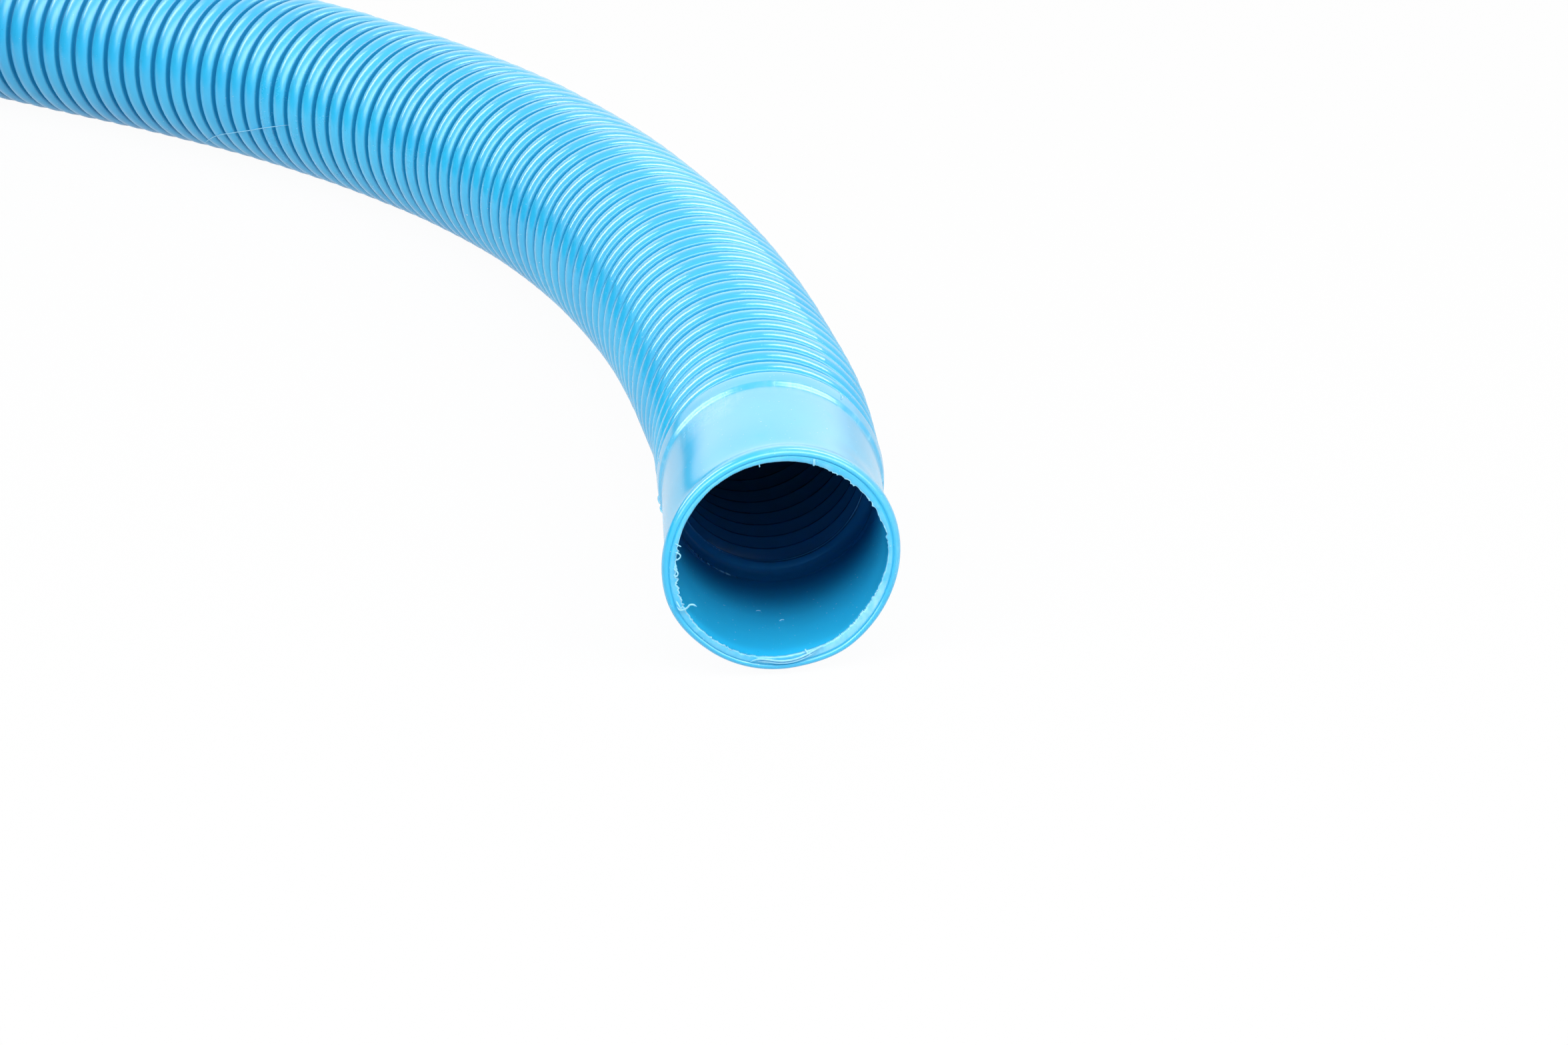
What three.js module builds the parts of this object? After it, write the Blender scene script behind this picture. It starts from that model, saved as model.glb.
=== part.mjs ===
// Pool vacuum hose, 5.5 m long: one blow-moulded ribbed tube with a plain cuff moulded on its near end,
// most of its length wound into a coil, and a swivelling cuff on its far end.
// Millimetres, +Z up. The near cuff's mouth faces -Y and the hose lies on the plane Z = 0.
import * as THREE from 'three';

// ---- Hose body -------------------------------------------------------------------------------
const HOSE_OD = 38;
const RIB_DEPTH = 1.6;
const HOSE_WALL = 1.5;
const RIB_PITCH = 5.15;
const RUN_RIBS = 94;
const TAIL_RIBS = 12;
const RIB_SIDES = 8;
const RIBS_PER_BORE_RING = 5;

// ---- Near cuff, measured from its mouth --------------------------------------------------------
const CUFF_LENGTH = 36.3;
const NECK_STEP = 0.75;
const CUFF_WALL = 1.1;
const CUFF_BEAD_HEIGHT = 0.7;
const CUFF_BEAD_LENGTH = 3.6;
const CUFF_BEAD_CHAMFER = 0.85;
const CUFF_LIP_HEIGHT = 0.4;
const CUFF_LIP_LENGTH = 1.4;
const CUFF_LIP_CHAMFER = 0.8;
const COLLAR_LENGTH = 6;
const COLLAR_FILLET = 2;
const ROUND_STEPS = 40;

// ---- Coil --------------------------------------------------------------------------------------
const COIL_START_RADIUS = 252.5;
const TURN_GAP = 1;
const LAYER_GAP = 0.6;
const LAYER_TURNS = 2;
const WHOLE_TURNS = 3;
const STEPS_PER_TURN = 24;
const COIL_SIDES = 6;
const CLIMB_TURNS = 0.5;
const TAIL_RISE_TURNS = 0.25;
const LEAD_LENGTH = HOSE_OD;

// ---- Swivel cuff on the far end, measured from the end of the tail -----------------------------------
const HUB_COLLAR_LENGTH = 14;
const HUB_BORE_STEP = 0.3;
const SPIGOT_WALL = 2.3;
const SPIGOT_LENGTH = 24;
const SNAP_BEAD_HEIGHT = 0.7;
const SNAP_BEAD_LENGTH = 4;
const SNAP_BEAD_LEAD = 1.5;
const WASHER_THICKNESS = 1.6;
const WASHER_INSET = 0.4;
const SLEEVE_WALL = 2.8;
const SLEEVE_LENGTH = 25.5;
const SLEEVE_CHAMFER = 0.7;
const SWIVEL_TAPER = 5;
const SOCKET_STEP = 2;
const SOCKET_BORE_D = 33.5;
const SOCKET_DEPTH = 34;
const SOCKET_WALL = 2.95;
const SOCKET_BEAD_HEIGHT = 0.9;
const SOCKET_BEAD_LENGTH = 4;

// ---- Storage ties ----------------------------------------------------------------------------------
const TIE_COUNT = 3;
const FIRST_TIE_STEP = 3;
const TIE_WIDTH = 20;
const TIE_THICKNESS = 1.6;
const TIE_ARC_STEP = Math.PI / 14;
const KEEPER_WALL = 1.5;
const KEEPER_LENGTH = 8;

// ---- Clearances --------------------------------------------------------------------------------------
const GAP = 0.3;

// ---- Sizes that follow from those ----------------------------------------------------------------------
const HOSE_R = HOSE_OD / 2;
const GROOVE_R = HOSE_R - RIB_DEPTH;
const BORE_R = GROOVE_R - HOSE_WALL;
const HUB_BORE_R = BORE_R - HUB_BORE_STEP;
const SPIGOT_R = HUB_BORE_R + SPIGOT_WALL;
const SNAP_BEAD_R = SPIGOT_R + SNAP_BEAD_HEIGHT;
const SWIVEL_R = SPIGOT_R + GAP + SLEEVE_WALL;

// Where the free stretch lies, from the near cuff's collar to the coil: X, Y past the collar, and
// how far the hose has climbed onto the ties under the coil, from 0 to 1.
const RUN_POINTS = [
  [0, 0, 0],
  [-0.9, 20, 0],
  [-3.5, 39.8, 0],
  [-6.6, 59.6, 0],
  [-10.5, 79.2, 0],
  [-15.5, 98.6, 0],
  [-21.5, 117.6, 0],
  [-28.6, 136.3, 0],
  [-36.9, 154.5, 0],
  [-46.4, 172.1, 0],
  [-57.3, 188.9, 0],
  [-69.4, 204.8, 0],
  [-82.5, 219.8, 0],
  [-96.5, 234.1, 0],
  [-111.3, 247.6, 0],
  [-126.8, 260.2, 0],
  [-142.8, 272.2, 0],
  [-159, 284, 0],
  [-191.2, 307.7, 0.1],
  [-223.4, 331.4, 0.6],
  [-255.6, 355.1, 1],
  [-287.8, 378.8, 1],
];

// ---- Materials ---------------------------------------------------------------------------------------
function plastic(name, color, roughness) {
  const material = new THREE.MeshStandardMaterial({ color, roughness, metalness: 0 });
  material.name = name;
  return material;
}
const hoseBlue = plastic('hose_blue', 0x3fa9e6, 0.32);
const cuffBlue = plastic('cuff_blue', 0x2f93d2, 0.4);
const sealBlack = plastic('seal_black', 0x1c1d1f, 0.6);
const tieBlack = plastic('tie_black', 0x26282b, 0.85);
const keeperBlack = plastic('keeper_black', 0x1c1d1f, 0.5);

// ---- Mesh helpers --------------------------------------------------------------------------------------
function named(name, geometry, material) {
  const mesh = new THREE.Mesh(geometry, material);
  mesh.name = name;
  return mesh;
}

function geometryFrom(points, faces) {
  const geometry = new THREE.BufferGeometry();
  geometry.setAttribute('position', new THREE.Float32BufferAttribute(points.flat(), 3));
  geometry.setIndex(faces.flat());
  geometry.computeVertexNormals();
  return geometry;
}

// The side and up directions of a section square to the tangent, without twist.
function sectionAxes(tangent) {
  const side = new THREE.Vector3().crossVectors(tangent, new THREE.Vector3(0, 0, 1)).normalize();
  const up = new THREE.Vector3().crossVectors(side, tangent).normalize();
  return { side, up };
}

function ring(station, radius, sides, firstAngle) {
  const { side, up } = sectionAxes(station.tangent);
  return Array.from({ length: sides }, (_, k) => {
    const angle = firstAngle + (2 * Math.PI * k) / sides;
    const p = station.point.clone();
    p.addScaledVector(side, radius * Math.cos(angle));
    p.addScaledVector(up, radius * Math.sin(angle));
    return p.toArray();
  });
}

// Quads between two rings of the same count, split in triangles; flip turns them inside out.
function bridge(first, second, sides, flip) {
  const faces = [];
  for (let k = 0; k < sides; k += 1) {
    const a = first + k;
    const b = first + ((k + 1) % sides);
    const c = second + ((k + 1) % sides);
    const d = second + k;
    faces.push(flip ? [a, c, b] : [a, b, c], flip ? [a, d, c] : [a, c, d]);
  }
  return faces;
}

// ---- Route of the free stretch -------------------------------------------------------------------------
const runCurve = new THREE.CatmullRomCurve3(
  RUN_POINTS.map(([x, y, climbed]) => new THREE.Vector3(
    x,
    CUFF_LENGTH + GAP + y,
    HOSE_R + climbed * (TIE_THICKNESS + GAP),
  )),
  false,
  'centripetal',
);
runCurve.arcLengthDivisions = 2000;
const runCurveLength = runCurve.getLength();

// Past its last point the route goes straight on.
function runStation(distance) {
  const u = Math.min(distance / runCurveLength, 1);
  const tangent = distance === 0 ? new THREE.Vector3(0, 1, 0) : runCurve.getTangentAt(u);
  const point = runCurve.getPointAt(u);
  point.addScaledVector(tangent, Math.max(distance - runCurveLength, 0));
  point.z = Math.max(point.z, HOSE_R);
  return { point, tangent };
}

// A ribbed tube with its bore: two rings a rib outside, one ring every few ribs inside.
function ribbedTube(stationAt, ribs) {
  const outer = [];
  for (let half = 0; half <= 2 * ribs; half += 1) {
    const radius = half % 2 === 0 ? GROOVE_R : HOSE_R;
    outer.push(ring(stationAt((half * RIB_PITCH) / 2), radius, RIB_SIDES, Math.PI / 2));
  }
  const boreRings = Math.max(1, Math.round(ribs / RIBS_PER_BORE_RING));
  const inner = [];
  for (let k = 0; k <= boreRings; k += 1) {
    inner.push(ring(stationAt((k * ribs * RIB_PITCH) / boreRings), BORE_R, RIB_SIDES, Math.PI / 2));
  }
  const rings = [...outer, ...inner];
  const start = (index) => index * RIB_SIDES;
  const faces = [];
  for (let k = 0; k + 1 < outer.length; k += 1) {
    faces.push(...bridge(start(k), start(k + 1), RIB_SIDES, true));
  }
  for (let k = outer.length; k + 1 < rings.length; k += 1) {
    faces.push(...bridge(start(k), start(k + 1), RIB_SIDES, false));
  }
  faces.push(...bridge(start(0), start(outer.length), RIB_SIDES, false));
  faces.push(...bridge(start(outer.length - 1), start(rings.length - 1), RIB_SIDES, true));
  return geometryFrom(rings.flat(), faces);
}

// ---- Coil ------------------------------------------------------------------------------------------------
// Two layers. The lower one spirals in, the hose climbs in the half turn where the spiral
// reverses, and the upper one spirals out. Each end of the coil is a straight lead.
const TURN_PITCH = HOSE_OD + TURN_GAP;
const LAYER_PITCH = HOSE_OD + LAYER_GAP;
const TAIL_LIFT = Math.max(SWIVEL_R - HOSE_R, 0);
const radialRate = TURN_PITCH / (2 * Math.PI);
const runEnd = runStation(RUN_RIBS * RIB_PITCH + GAP);
const runHeading = Math.atan2(runEnd.tangent.y, runEnd.tangent.x);
const leadDirection = new THREE.Vector3(Math.cos(runHeading), Math.sin(runHeading), 0);
const coilStart = runEnd.point.clone().addScaledVector(leadDirection, LEAD_LENGTH);
coilStart.z = HOSE_R + TIE_THICKNESS + GAP;
const startAngle = runHeading - Math.PI / 2 - Math.atan(radialRate / COIL_START_RADIUS);
const coilCentre = new THREE.Vector3(
  coilStart.x - COIL_START_RADIUS * Math.cos(startAngle),
  coilStart.y - COIL_START_RADIUS * Math.sin(startAngle),
  coilStart.z,
);

// The turns from the start to where the coil leaves along +X, after WHOLE_TURNS whole ones.
function turnsToTail(endRadius) {
  const endAngle = Math.atan(radialRate / endRadius) - Math.PI / 2;
  const part = (endAngle - startAngle) / (2 * Math.PI);
  return WHOLE_TURNS + part - Math.floor(part);
}

// Radius of the hose's centre, turn turns after the start.
function coilRadius(turn) {
  return COIL_START_RADIUS - TURN_PITCH * (turn < LAYER_TURNS ? turn : 2 * LAYER_TURNS - turn);
}
const coilTurns = turnsToTail(coilRadius(turnsToTail(COIL_START_RADIUS)));

function smooth(x) {
  const t = Math.min(Math.max(x, 0), 1);
  return t * t * (3 - 2 * t);
}

// The tail end rises, because the swivel cuff on it is thicker than the hose.
function coilPoint(turn) {
  const angle = startAngle + 2 * Math.PI * turn;
  const climb = smooth((turn - LAYER_TURNS) / CLIMB_TURNS + 0.5) * LAYER_PITCH;
  const lift = smooth((turn - coilTurns) / TAIL_RISE_TURNS + 1) * TAIL_LIFT;
  return new THREE.Vector3(
    coilCentre.x + coilRadius(turn) * Math.cos(angle),
    coilCentre.y + coilRadius(turn) * Math.sin(angle),
    coilCentre.z + climb + lift,
  );
}

const coilPoints = [runEnd.point.clone()];
for (let turn = 0; turn < coilTurns - 0.5 / STEPS_PER_TURN; turn += 1 / STEPS_PER_TURN) {
  coilPoints.push(coilPoint(turn));
}
coilPoints.push(coilPoint(coilTurns));
const tailDirection = new THREE.Vector3(1, 0, 0);
coilPoints.push(coilPoint(coilTurns).addScaledVector(tailDirection, LEAD_LENGTH));

const coilStations = coilPoints.map((point, k) => {
  const before = coilPoints[Math.max(k - 1, 0)];
  const after = coilPoints[Math.min(k + 1, coilPoints.length - 1)];
  return { point, tangent: after.clone().sub(before).normalize() };
});
coilStations[0].tangent.copy(runEnd.tangent);
coilStations[coilStations.length - 1].tangent.copy(tailDirection);

const coilRings = coilStations.map((station) => ring(station, HOSE_R, COIL_SIDES, 0));

function coilGeometry() {
  const faces = [];
  for (let k = 0; k + 1 < coilRings.length; k += 1) {
    faces.push(...bridge(k * COIL_SIDES, (k + 1) * COIL_SIDES, COIL_SIDES, true));
  }
  const last = (coilRings.length - 1) * COIL_SIDES;
  for (let k = 1; k + 1 < COIL_SIDES; k += 1) {
    faces.push([0, k, k + 1]);
    faces.push([last, last + k + 1, last + k]);
  }
  return geometryFrom(coilRings.flat(), faces);
}

// The least distance between points on turns that lie beside or on each other.
function coilSelfGap() {
  const points = coilRings.map((corners) => corners.flatMap((corner, k) => {
    const next = corners[(k + 1) % COIL_SIDES];
    return [0, 0.25, 0.5, 0.75].map((t) => corner.map((value, axis) => value + t * (next[axis] - value)));
  }));
  let least = Infinity;
  for (let i = 0; i < points.length; i += 1) {
    for (let j = i + STEPS_PER_TURN / 2; j < points.length; j += 1) {
      for (const p of points[i]) {
        for (const q of points[j]) {
          least = Math.min(least, Math.hypot(p[0] - q[0], p[1] - q[1], p[2] - q[2]));
        }
      }
    }
  }
  return least;
}

// ---- Tail and swivel: a straight end of ribbed hose on top of the coil, and what is on it ----------
const tailStart = coilPoints[coilPoints.length - 1].clone().addScaledVector(tailDirection, GAP);
const tailLength = TAIL_RIBS * RIB_PITCH;
const swivelStart = tailStart.clone().addScaledVector(tailDirection, tailLength + GAP);

function tailStation(distance) {
  return { point: tailStart.clone().addScaledVector(tailDirection, distance), tangent: tailDirection };
}

// A solid of revolution about its own +Y, from a closed outline of [radius, length] points.
function turned(outline) {
  const points = [...outline, outline[0]].map(([radius, along]) => new THREE.Vector2(radius, along));
  return new THREE.LatheGeometry(points, ROUND_STEPS);
}

// Every outline below runs from the inner edge round the outside, so that its faces point out.
function nearCuffGeometry() {
  const neck = HOSE_R - NECK_STEP;
  const bead = neck + CUFF_BEAD_HEIGHT;
  const bore = neck - CUFF_WALL;
  const lip = bore - CUFF_LIP_HEIGHT;
  const end = CUFF_LENGTH;
  const collarStart = end - COLLAR_LENGTH;
  const collarRound = RIB_DEPTH / 2;
  return turned([
    [lip, 0],
    [bead - CUFF_BEAD_CHAMFER, 0],
    [bead, CUFF_BEAD_CHAMFER],
    [bead, CUFF_BEAD_LENGTH - CUFF_BEAD_CHAMFER],
    [neck, CUFF_BEAD_LENGTH],
    [neck, collarStart - COLLAR_FILLET],
    [neck + NECK_STEP / 3, collarStart - COLLAR_FILLET / 3],
    [HOSE_R, collarStart],
    [HOSE_R, end - 2 * collarRound],
    [HOSE_R - collarRound, end - collarRound / 2],
    [GROOVE_R, end],
    [BORE_R, end],
    [BORE_R, collarStart],
    [bore, collarStart - 2 * COLLAR_FILLET],
    [bore, CUFF_LIP_LENGTH + CUFF_LIP_CHAMFER],
    [lip, CUFF_LIP_LENGTH],
  ]);
}

const washerStart = HUB_COLLAR_LENGTH + GAP;
const sleeveStart = washerStart + WASHER_THICKNESS + GAP;
const spigotEnd = HUB_COLLAR_LENGTH + SPIGOT_LENGTH;
const snapStart = spigotEnd - SNAP_BEAD_LENGTH;
const socketStart = spigotEnd + GAP + SOCKET_STEP;
const swivelEnd = socketStart + SOCKET_DEPTH;

function hubGeometry() {
  return turned([
    [HUB_BORE_R, 0],
    [SWIVEL_R - SLEEVE_CHAMFER, 0],
    [SWIVEL_R, SLEEVE_CHAMFER],
    [SWIVEL_R, HUB_COLLAR_LENGTH],
    [SPIGOT_R, HUB_COLLAR_LENGTH],
    [SPIGOT_R, snapStart],
    [SNAP_BEAD_R, snapStart],
    [SNAP_BEAD_R, spigotEnd - SNAP_BEAD_LEAD],
    [SPIGOT_R, spigotEnd],
    [HUB_BORE_R, spigotEnd],
  ]);
}

function washerGeometry() {
  return turned([
    [SPIGOT_R + GAP, washerStart],
    [SWIVEL_R - WASHER_INSET, washerStart],
    [SWIVEL_R - WASHER_INSET, washerStart + WASHER_THICKNESS],
    [SPIGOT_R + GAP, washerStart + WASHER_THICKNESS],
  ]);
}

// The sleeve turns on the spigot and is snapped over its bead; the socket takes the fitting.
function swivelCuffGeometry() {
  const sleeveEnd = sleeveStart + SLEEVE_LENGTH;
  const socketBore = SOCKET_BORE_D / 2;
  const socketOutside = socketBore + SOCKET_WALL;
  const bead = socketOutside + SOCKET_BEAD_HEIGHT;
  return turned([
    [SPIGOT_R + GAP, sleeveStart],
    [SWIVEL_R - SLEEVE_CHAMFER, sleeveStart],
    [SWIVEL_R, sleeveStart + SLEEVE_CHAMFER],
    [SWIVEL_R, sleeveEnd],
    [socketOutside, sleeveEnd + SWIVEL_TAPER],
    [socketOutside, swivelEnd - SOCKET_BEAD_LENGTH],
    [bead, swivelEnd - SOCKET_BEAD_LENGTH + SOCKET_BEAD_HEIGHT],
    [bead, swivelEnd - SOCKET_BEAD_HEIGHT],
    [socketOutside, swivelEnd],
    [socketBore, swivelEnd],
    [socketBore, socketStart],
    [HUB_BORE_R, socketStart],
    [HUB_BORE_R, spigotEnd + GAP],
    [SNAP_BEAD_R + GAP, spigotEnd + GAP],
    [SNAP_BEAD_R + GAP, snapStart - GAP],
    [SPIGOT_R + GAP, snapStart - GAP],
  ]);
}

// ---- Ties: webbing drawn round both layers of the coil, each with a keeper ring ----------------------
// A straight tie needs room inside a turn, where the hose curves in past the tie's edges.
const innerTurnRadius = coilRadius(LAYER_TURNS);
const curveIn = Math.tan(Math.PI / STEPS_PER_TURN) + radialRate / innerTurnRadius;
const tieSlack = (curveIn * TIE_WIDTH) / 2 + GAP;

// Where the hose crosses a tie: [radius, height] of its centre for every turn there, and again
// nearer the coil's axis by the tie's slack.
function crossings(step) {
  const found = [];
  for (let turn = step / STEPS_PER_TURN; turn <= coilTurns; turn += 1) {
    const height = coilPoint(turn).z;
    found.push([coilRadius(turn), height], [coilRadius(turn) - tieSlack, height]);
  }
  return found;
}

// The convex outline of a few [x, y] points, anticlockwise.
function convexOutline(points) {
  const sorted = [...points].sort((p, q) => p[0] - q[0] || p[1] - q[1]);
  const turn = (o, p, q) => (p[0] - o[0]) * (q[1] - o[1]) - (p[1] - o[1]) * (q[0] - o[0]);
  const half = (list) => {
    const chain = [];
    for (const point of list) {
      while (chain.length > 1 && turn(chain[chain.length - 2], chain[chain.length - 1], point) <= 0) {
        chain.pop();
      }
      chain.push(point);
    }
    return chain.slice(0, -1);
  };
  return [...half(sorted), ...half(sorted.reverse())];
}

// The edges of an outline, with the direction that each one faces.
function edgesOf(outline) {
  return outline.map((from, k) => {
    const to = outline[(k + 1) % outline.length];
    return { from, to, facing: Math.atan2(from[0] - to[0], to[1] - from[1]) };
  });
}

// The points of a taut loop at a constant distance round an outline's corners.
function loopRound(outline, distance) {
  const edges = edgesOf(outline);
  return edges.flatMap(({ to, facing }, k) => {
    const next = edges[(k + 1) % edges.length].facing;
    const sweep = (next - facing + 4 * Math.PI) % (2 * Math.PI);
    const steps = Math.ceil(sweep / TIE_ARC_STEP);
    return Array.from({ length: steps + 1 }, (_, i) => {
      const angle = facing + (sweep * i) / steps;
      return new THREE.Vector2(to[0] + distance * Math.cos(angle), to[1] + distance * Math.sin(angle));
    });
  });
}

// Extrudes a shape to both sides of its plane.
function band(shape, depth) {
  const geometry = new THREE.ExtrudeGeometry(shape, { depth, bevelEnabled: false });
  geometry.translate(0, 0, -depth / 2);
  return geometry;
}

// Stands a mesh drawn as [outward, up, along the hose] at one step of the coil.
function atCoilStep(mesh, step) {
  const upright = new THREE.Group();
  upright.rotation.x = Math.PI / 2;
  upright.add(mesh);
  const turntable = new THREE.Group();
  turntable.rotation.z = startAngle + (2 * Math.PI * step) / STEPS_PER_TURN;
  turntable.position.set(coilCentre.x, coilCentre.y, 0);
  turntable.add(upright);
  return turntable;
}

function tieStrap(step, name) {
  const outline = convexOutline(crossings(step));
  const shape = new THREE.Shape(loopRound(outline, HOSE_R + GAP + TIE_THICKNESS));
  shape.holes.push(new THREE.Path(loopRound(outline, HOSE_R + GAP)));
  return atCoilStep(named(name, band(shape, TIE_WIDTH), tieBlack), step);
}

// The keeper rides on the band's outer run, in the hollow between the lower and the upper turn.
function tieKeeper(step, name) {
  const edges = edgesOf(convexOutline(crossings(step)));
  const outward = (edge) => Math.cos(edge.facing);
  const { from, to, facing } = edges.reduce((best, edge) => (outward(edge) > outward(best) ? edge : best));
  const middle = new THREE.Vector2((from[0] + to[0]) / 2, (from[1] + to[1]) / 2);
  const bandMiddle = HOSE_R + GAP + TIE_THICKNESS / 2;
  const halfHole = [TIE_THICKNESS / 2 + GAP, TIE_WIDTH / 2 + GAP];
  const halfOut = halfHole.map((value) => value + KEEPER_WALL);
  const rectangle = (PathClass, [x, y]) => new PathClass([
    new THREE.Vector2(-x, -y),
    new THREE.Vector2(x, -y),
    new THREE.Vector2(x, y),
    new THREE.Vector2(-x, y),
  ]);
  const frame = rectangle(THREE.Shape, halfOut);
  frame.holes.push(rectangle(THREE.Path, halfHole));
  // Drawn as [through the band, along the hose], and extruded along the band.
  const geometry = band(frame, KEEPER_LENGTH);
  geometry.rotateX(-Math.PI / 2);
  const mesh = named(name, geometry, keeperBlack);
  mesh.position.set(
    middle.x + bandMiddle * Math.cos(facing),
    middle.y + bandMiddle * Math.sin(facing),
    0,
  );
  mesh.rotation.z = facing;
  return atCoilStep(mesh, step);
}

// ---- Assembly ------------------------------------------------------------------------------------------
const hose = new THREE.Group();

const nearCuff = named('fixed_cuff', nearCuffGeometry(), hoseBlue);
nearCuff.position.set(0, 0, HOSE_R);
hose.add(nearCuff);
hose.add(named('hose_run', ribbedTube(runStation, RUN_RIBS), hoseBlue));
hose.add(named('hose_coil', coilGeometry(), hoseBlue));
hose.add(named('hose_tail', ribbedTube(tailStation, TAIL_RIBS), hoseBlue));

const swivel = new THREE.Group();
swivel.position.copy(swivelStart);
swivel.rotation.z = -Math.PI / 2;
swivel.add(named('swivel_hub', hubGeometry(), cuffBlue));
swivel.add(named('swivel_washer', washerGeometry(), sealBlack));
swivel.add(named('swivel_cuff', swivelCuffGeometry(), cuffBlue));
hose.add(swivel);

for (let index = 0; index < TIE_COUNT; index += 1) {
  const step = FIRST_TIE_STEP + Math.round((index * STEPS_PER_TURN) / TIE_COUNT);
  hose.add(tieStrap(step, `tie_strap_${index + 1}`));
  hose.add(tieKeeper(step, `tie_keeper_${index + 1}`));
}

// The origin is on the plane that the hose lies on, under the middle of the whole.
const box = new THREE.Box3().setFromObject(hose);
hose.position.set(-(box.min.x + box.max.x) / 2, -(box.min.y + box.max.y) / 2, 0);

const coilLength = coilPoints.slice(1).reduce((sum, point, k) => sum + point.distanceTo(coilPoints[k]), 0);
const total = CUFF_LENGTH + RUN_RIBS * RIB_PITCH + coilLength + tailLength + swivelEnd;
console.log(`coil: least gap to itself ${coilSelfGap().toFixed(2)} mm, ${coilTurns.toFixed(3)} turns`);
console.log(`hose: ${total.toFixed(0)} mm end to end`);

export default hose;
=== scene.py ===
"""Looks of the pool vacuum hose: a ribbed blue hose with a moulded cuff at the front, most of its length
in a tied coil out of the picture, and a swivel cuff on its far end. Metres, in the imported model's frame."""
import math

import bmesh
import bpy
import numpy as np
from mathutils import Matrix, Vector

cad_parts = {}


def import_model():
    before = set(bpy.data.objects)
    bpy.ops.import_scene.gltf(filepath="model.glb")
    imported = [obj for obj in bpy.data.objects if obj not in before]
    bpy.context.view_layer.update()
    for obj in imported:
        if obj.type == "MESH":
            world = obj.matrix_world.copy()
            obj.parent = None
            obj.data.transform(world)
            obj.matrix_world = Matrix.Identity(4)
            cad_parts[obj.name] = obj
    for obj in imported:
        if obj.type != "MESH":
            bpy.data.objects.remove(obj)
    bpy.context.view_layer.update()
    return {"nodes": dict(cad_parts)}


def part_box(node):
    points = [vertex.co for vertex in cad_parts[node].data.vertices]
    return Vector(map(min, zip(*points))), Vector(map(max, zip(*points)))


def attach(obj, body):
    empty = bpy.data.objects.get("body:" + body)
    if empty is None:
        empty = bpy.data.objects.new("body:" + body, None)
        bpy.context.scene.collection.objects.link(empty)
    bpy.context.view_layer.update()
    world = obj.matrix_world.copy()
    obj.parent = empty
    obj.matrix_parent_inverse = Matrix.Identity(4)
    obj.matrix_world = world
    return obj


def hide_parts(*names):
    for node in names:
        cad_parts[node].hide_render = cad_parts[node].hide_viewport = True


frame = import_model()

MM = 0.001
UP = (0, 0, 1)

# ---- Sizes of the real hose, the same values as the model's ----
HOSE_R = 19 * MM
RIB_DEPTH = 1.9 * MM
RIB_PITCH = 5.15 * MM
HOSE_WALL = 1.1 * MM
RUN_RIBS = 94
CUFF_LENGTH = 36.3 * MM
NECK_STEP = 0.75 * MM
CUFF_WALL = 1.1 * MM
GAP = 0.3 * MM
COIL_START_RADIUS = 252.5 * MM
TURN_PITCH = 2 * HOSE_R + 1 * MM
LAYER_PITCH = 2 * HOSE_R + 0.6 * MM
LAYER_TURNS = 2
WHOLE_TURNS = 3
CLIMB_TURNS = 0.5
TAIL_RISE_TURNS = 0.25
STEPS_PER_TURN = 24
LEAD_LENGTH = 2 * HOSE_R
TAIL_LENGTH = 12 * RIB_PITCH
TIE_WIDTH = 20 * MM
TIE_THICKNESS = 1.6 * MM
TIE_COUNT = 3
FIRST_TIE_STEP = 3
SWIVEL_R = 21 * MM

# The near cuff's mouth is the place that everything else is measured from.
cuff_low, cuff_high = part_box("fixed_cuff")
MOUTH = np.array([(cuff_low[0] + cuff_high[0]) / 2, cuff_low[1], 0.0])


def at_mouth(x, y, z):
    """A point given in millimetres right of, behind and above the floor under the cuff's mouth."""
    return MOUTH + np.array([x, y, z]) * MM


def new_object(name, data):
    """An object in the scene."""
    made = bpy.data.objects.new(name, data)
    bpy.context.scene.collection.objects.link(made)
    return made


# ---- Camera ----
CAMERA_AT = (-23.05, -546.82, 260.14)
CAMERA_HEADING = -2.496
CAMERA_PITCH = -23.18
LENS = 86.32
SENSOR_WIDTH = 36
NEAREST_SEEN = 10 * MM


def make_camera():
    data = bpy.data.cameras.new("view")
    data.lens = LENS
    data.sensor_width = SENSOR_WIDTH
    data.clip_start = NEAREST_SEEN
    camera = new_object("view", data)
    camera.location = at_mouth(*CAMERA_AT)
    camera.rotation_euler = (math.radians(90 + CAMERA_PITCH), 0, math.radians(CAMERA_HEADING))
    bpy.context.scene.camera = camera


make_camera()

# ---- Route of the hose ----
# The free stretch: X, Y past the cuff, and the share of its climb onto the coil's ties.
RUN_POINTS = [
    (0, 0, 0), (-0.9, 20, 0), (-3.5, 39.8, 0), (-6.6, 59.6, 0), (-10.5, 79.2, 0), (-15.5, 98.6, 0),
    (-21.5, 117.6, 0), (-28.6, 136.3, 0), (-36.9, 154.5, 0), (-46.4, 172.1, 0), (-57.3, 188.9, 0),
    (-69.4, 204.8, 0), (-82.5, 219.8, 0), (-96.5, 234.1, 0), (-111.3, 247.6, 0), (-126.8, 260.2, 0),
    (-142.8, 272.2, 0), (-159, 284, 0), (-191.2, 307.7, 0.1), (-223.4, 331.4, 0.6),
    (-255.6, 355.1, 1), (-287.8, 378.8, 1),
]
CURVE_STEPS = 24


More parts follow.
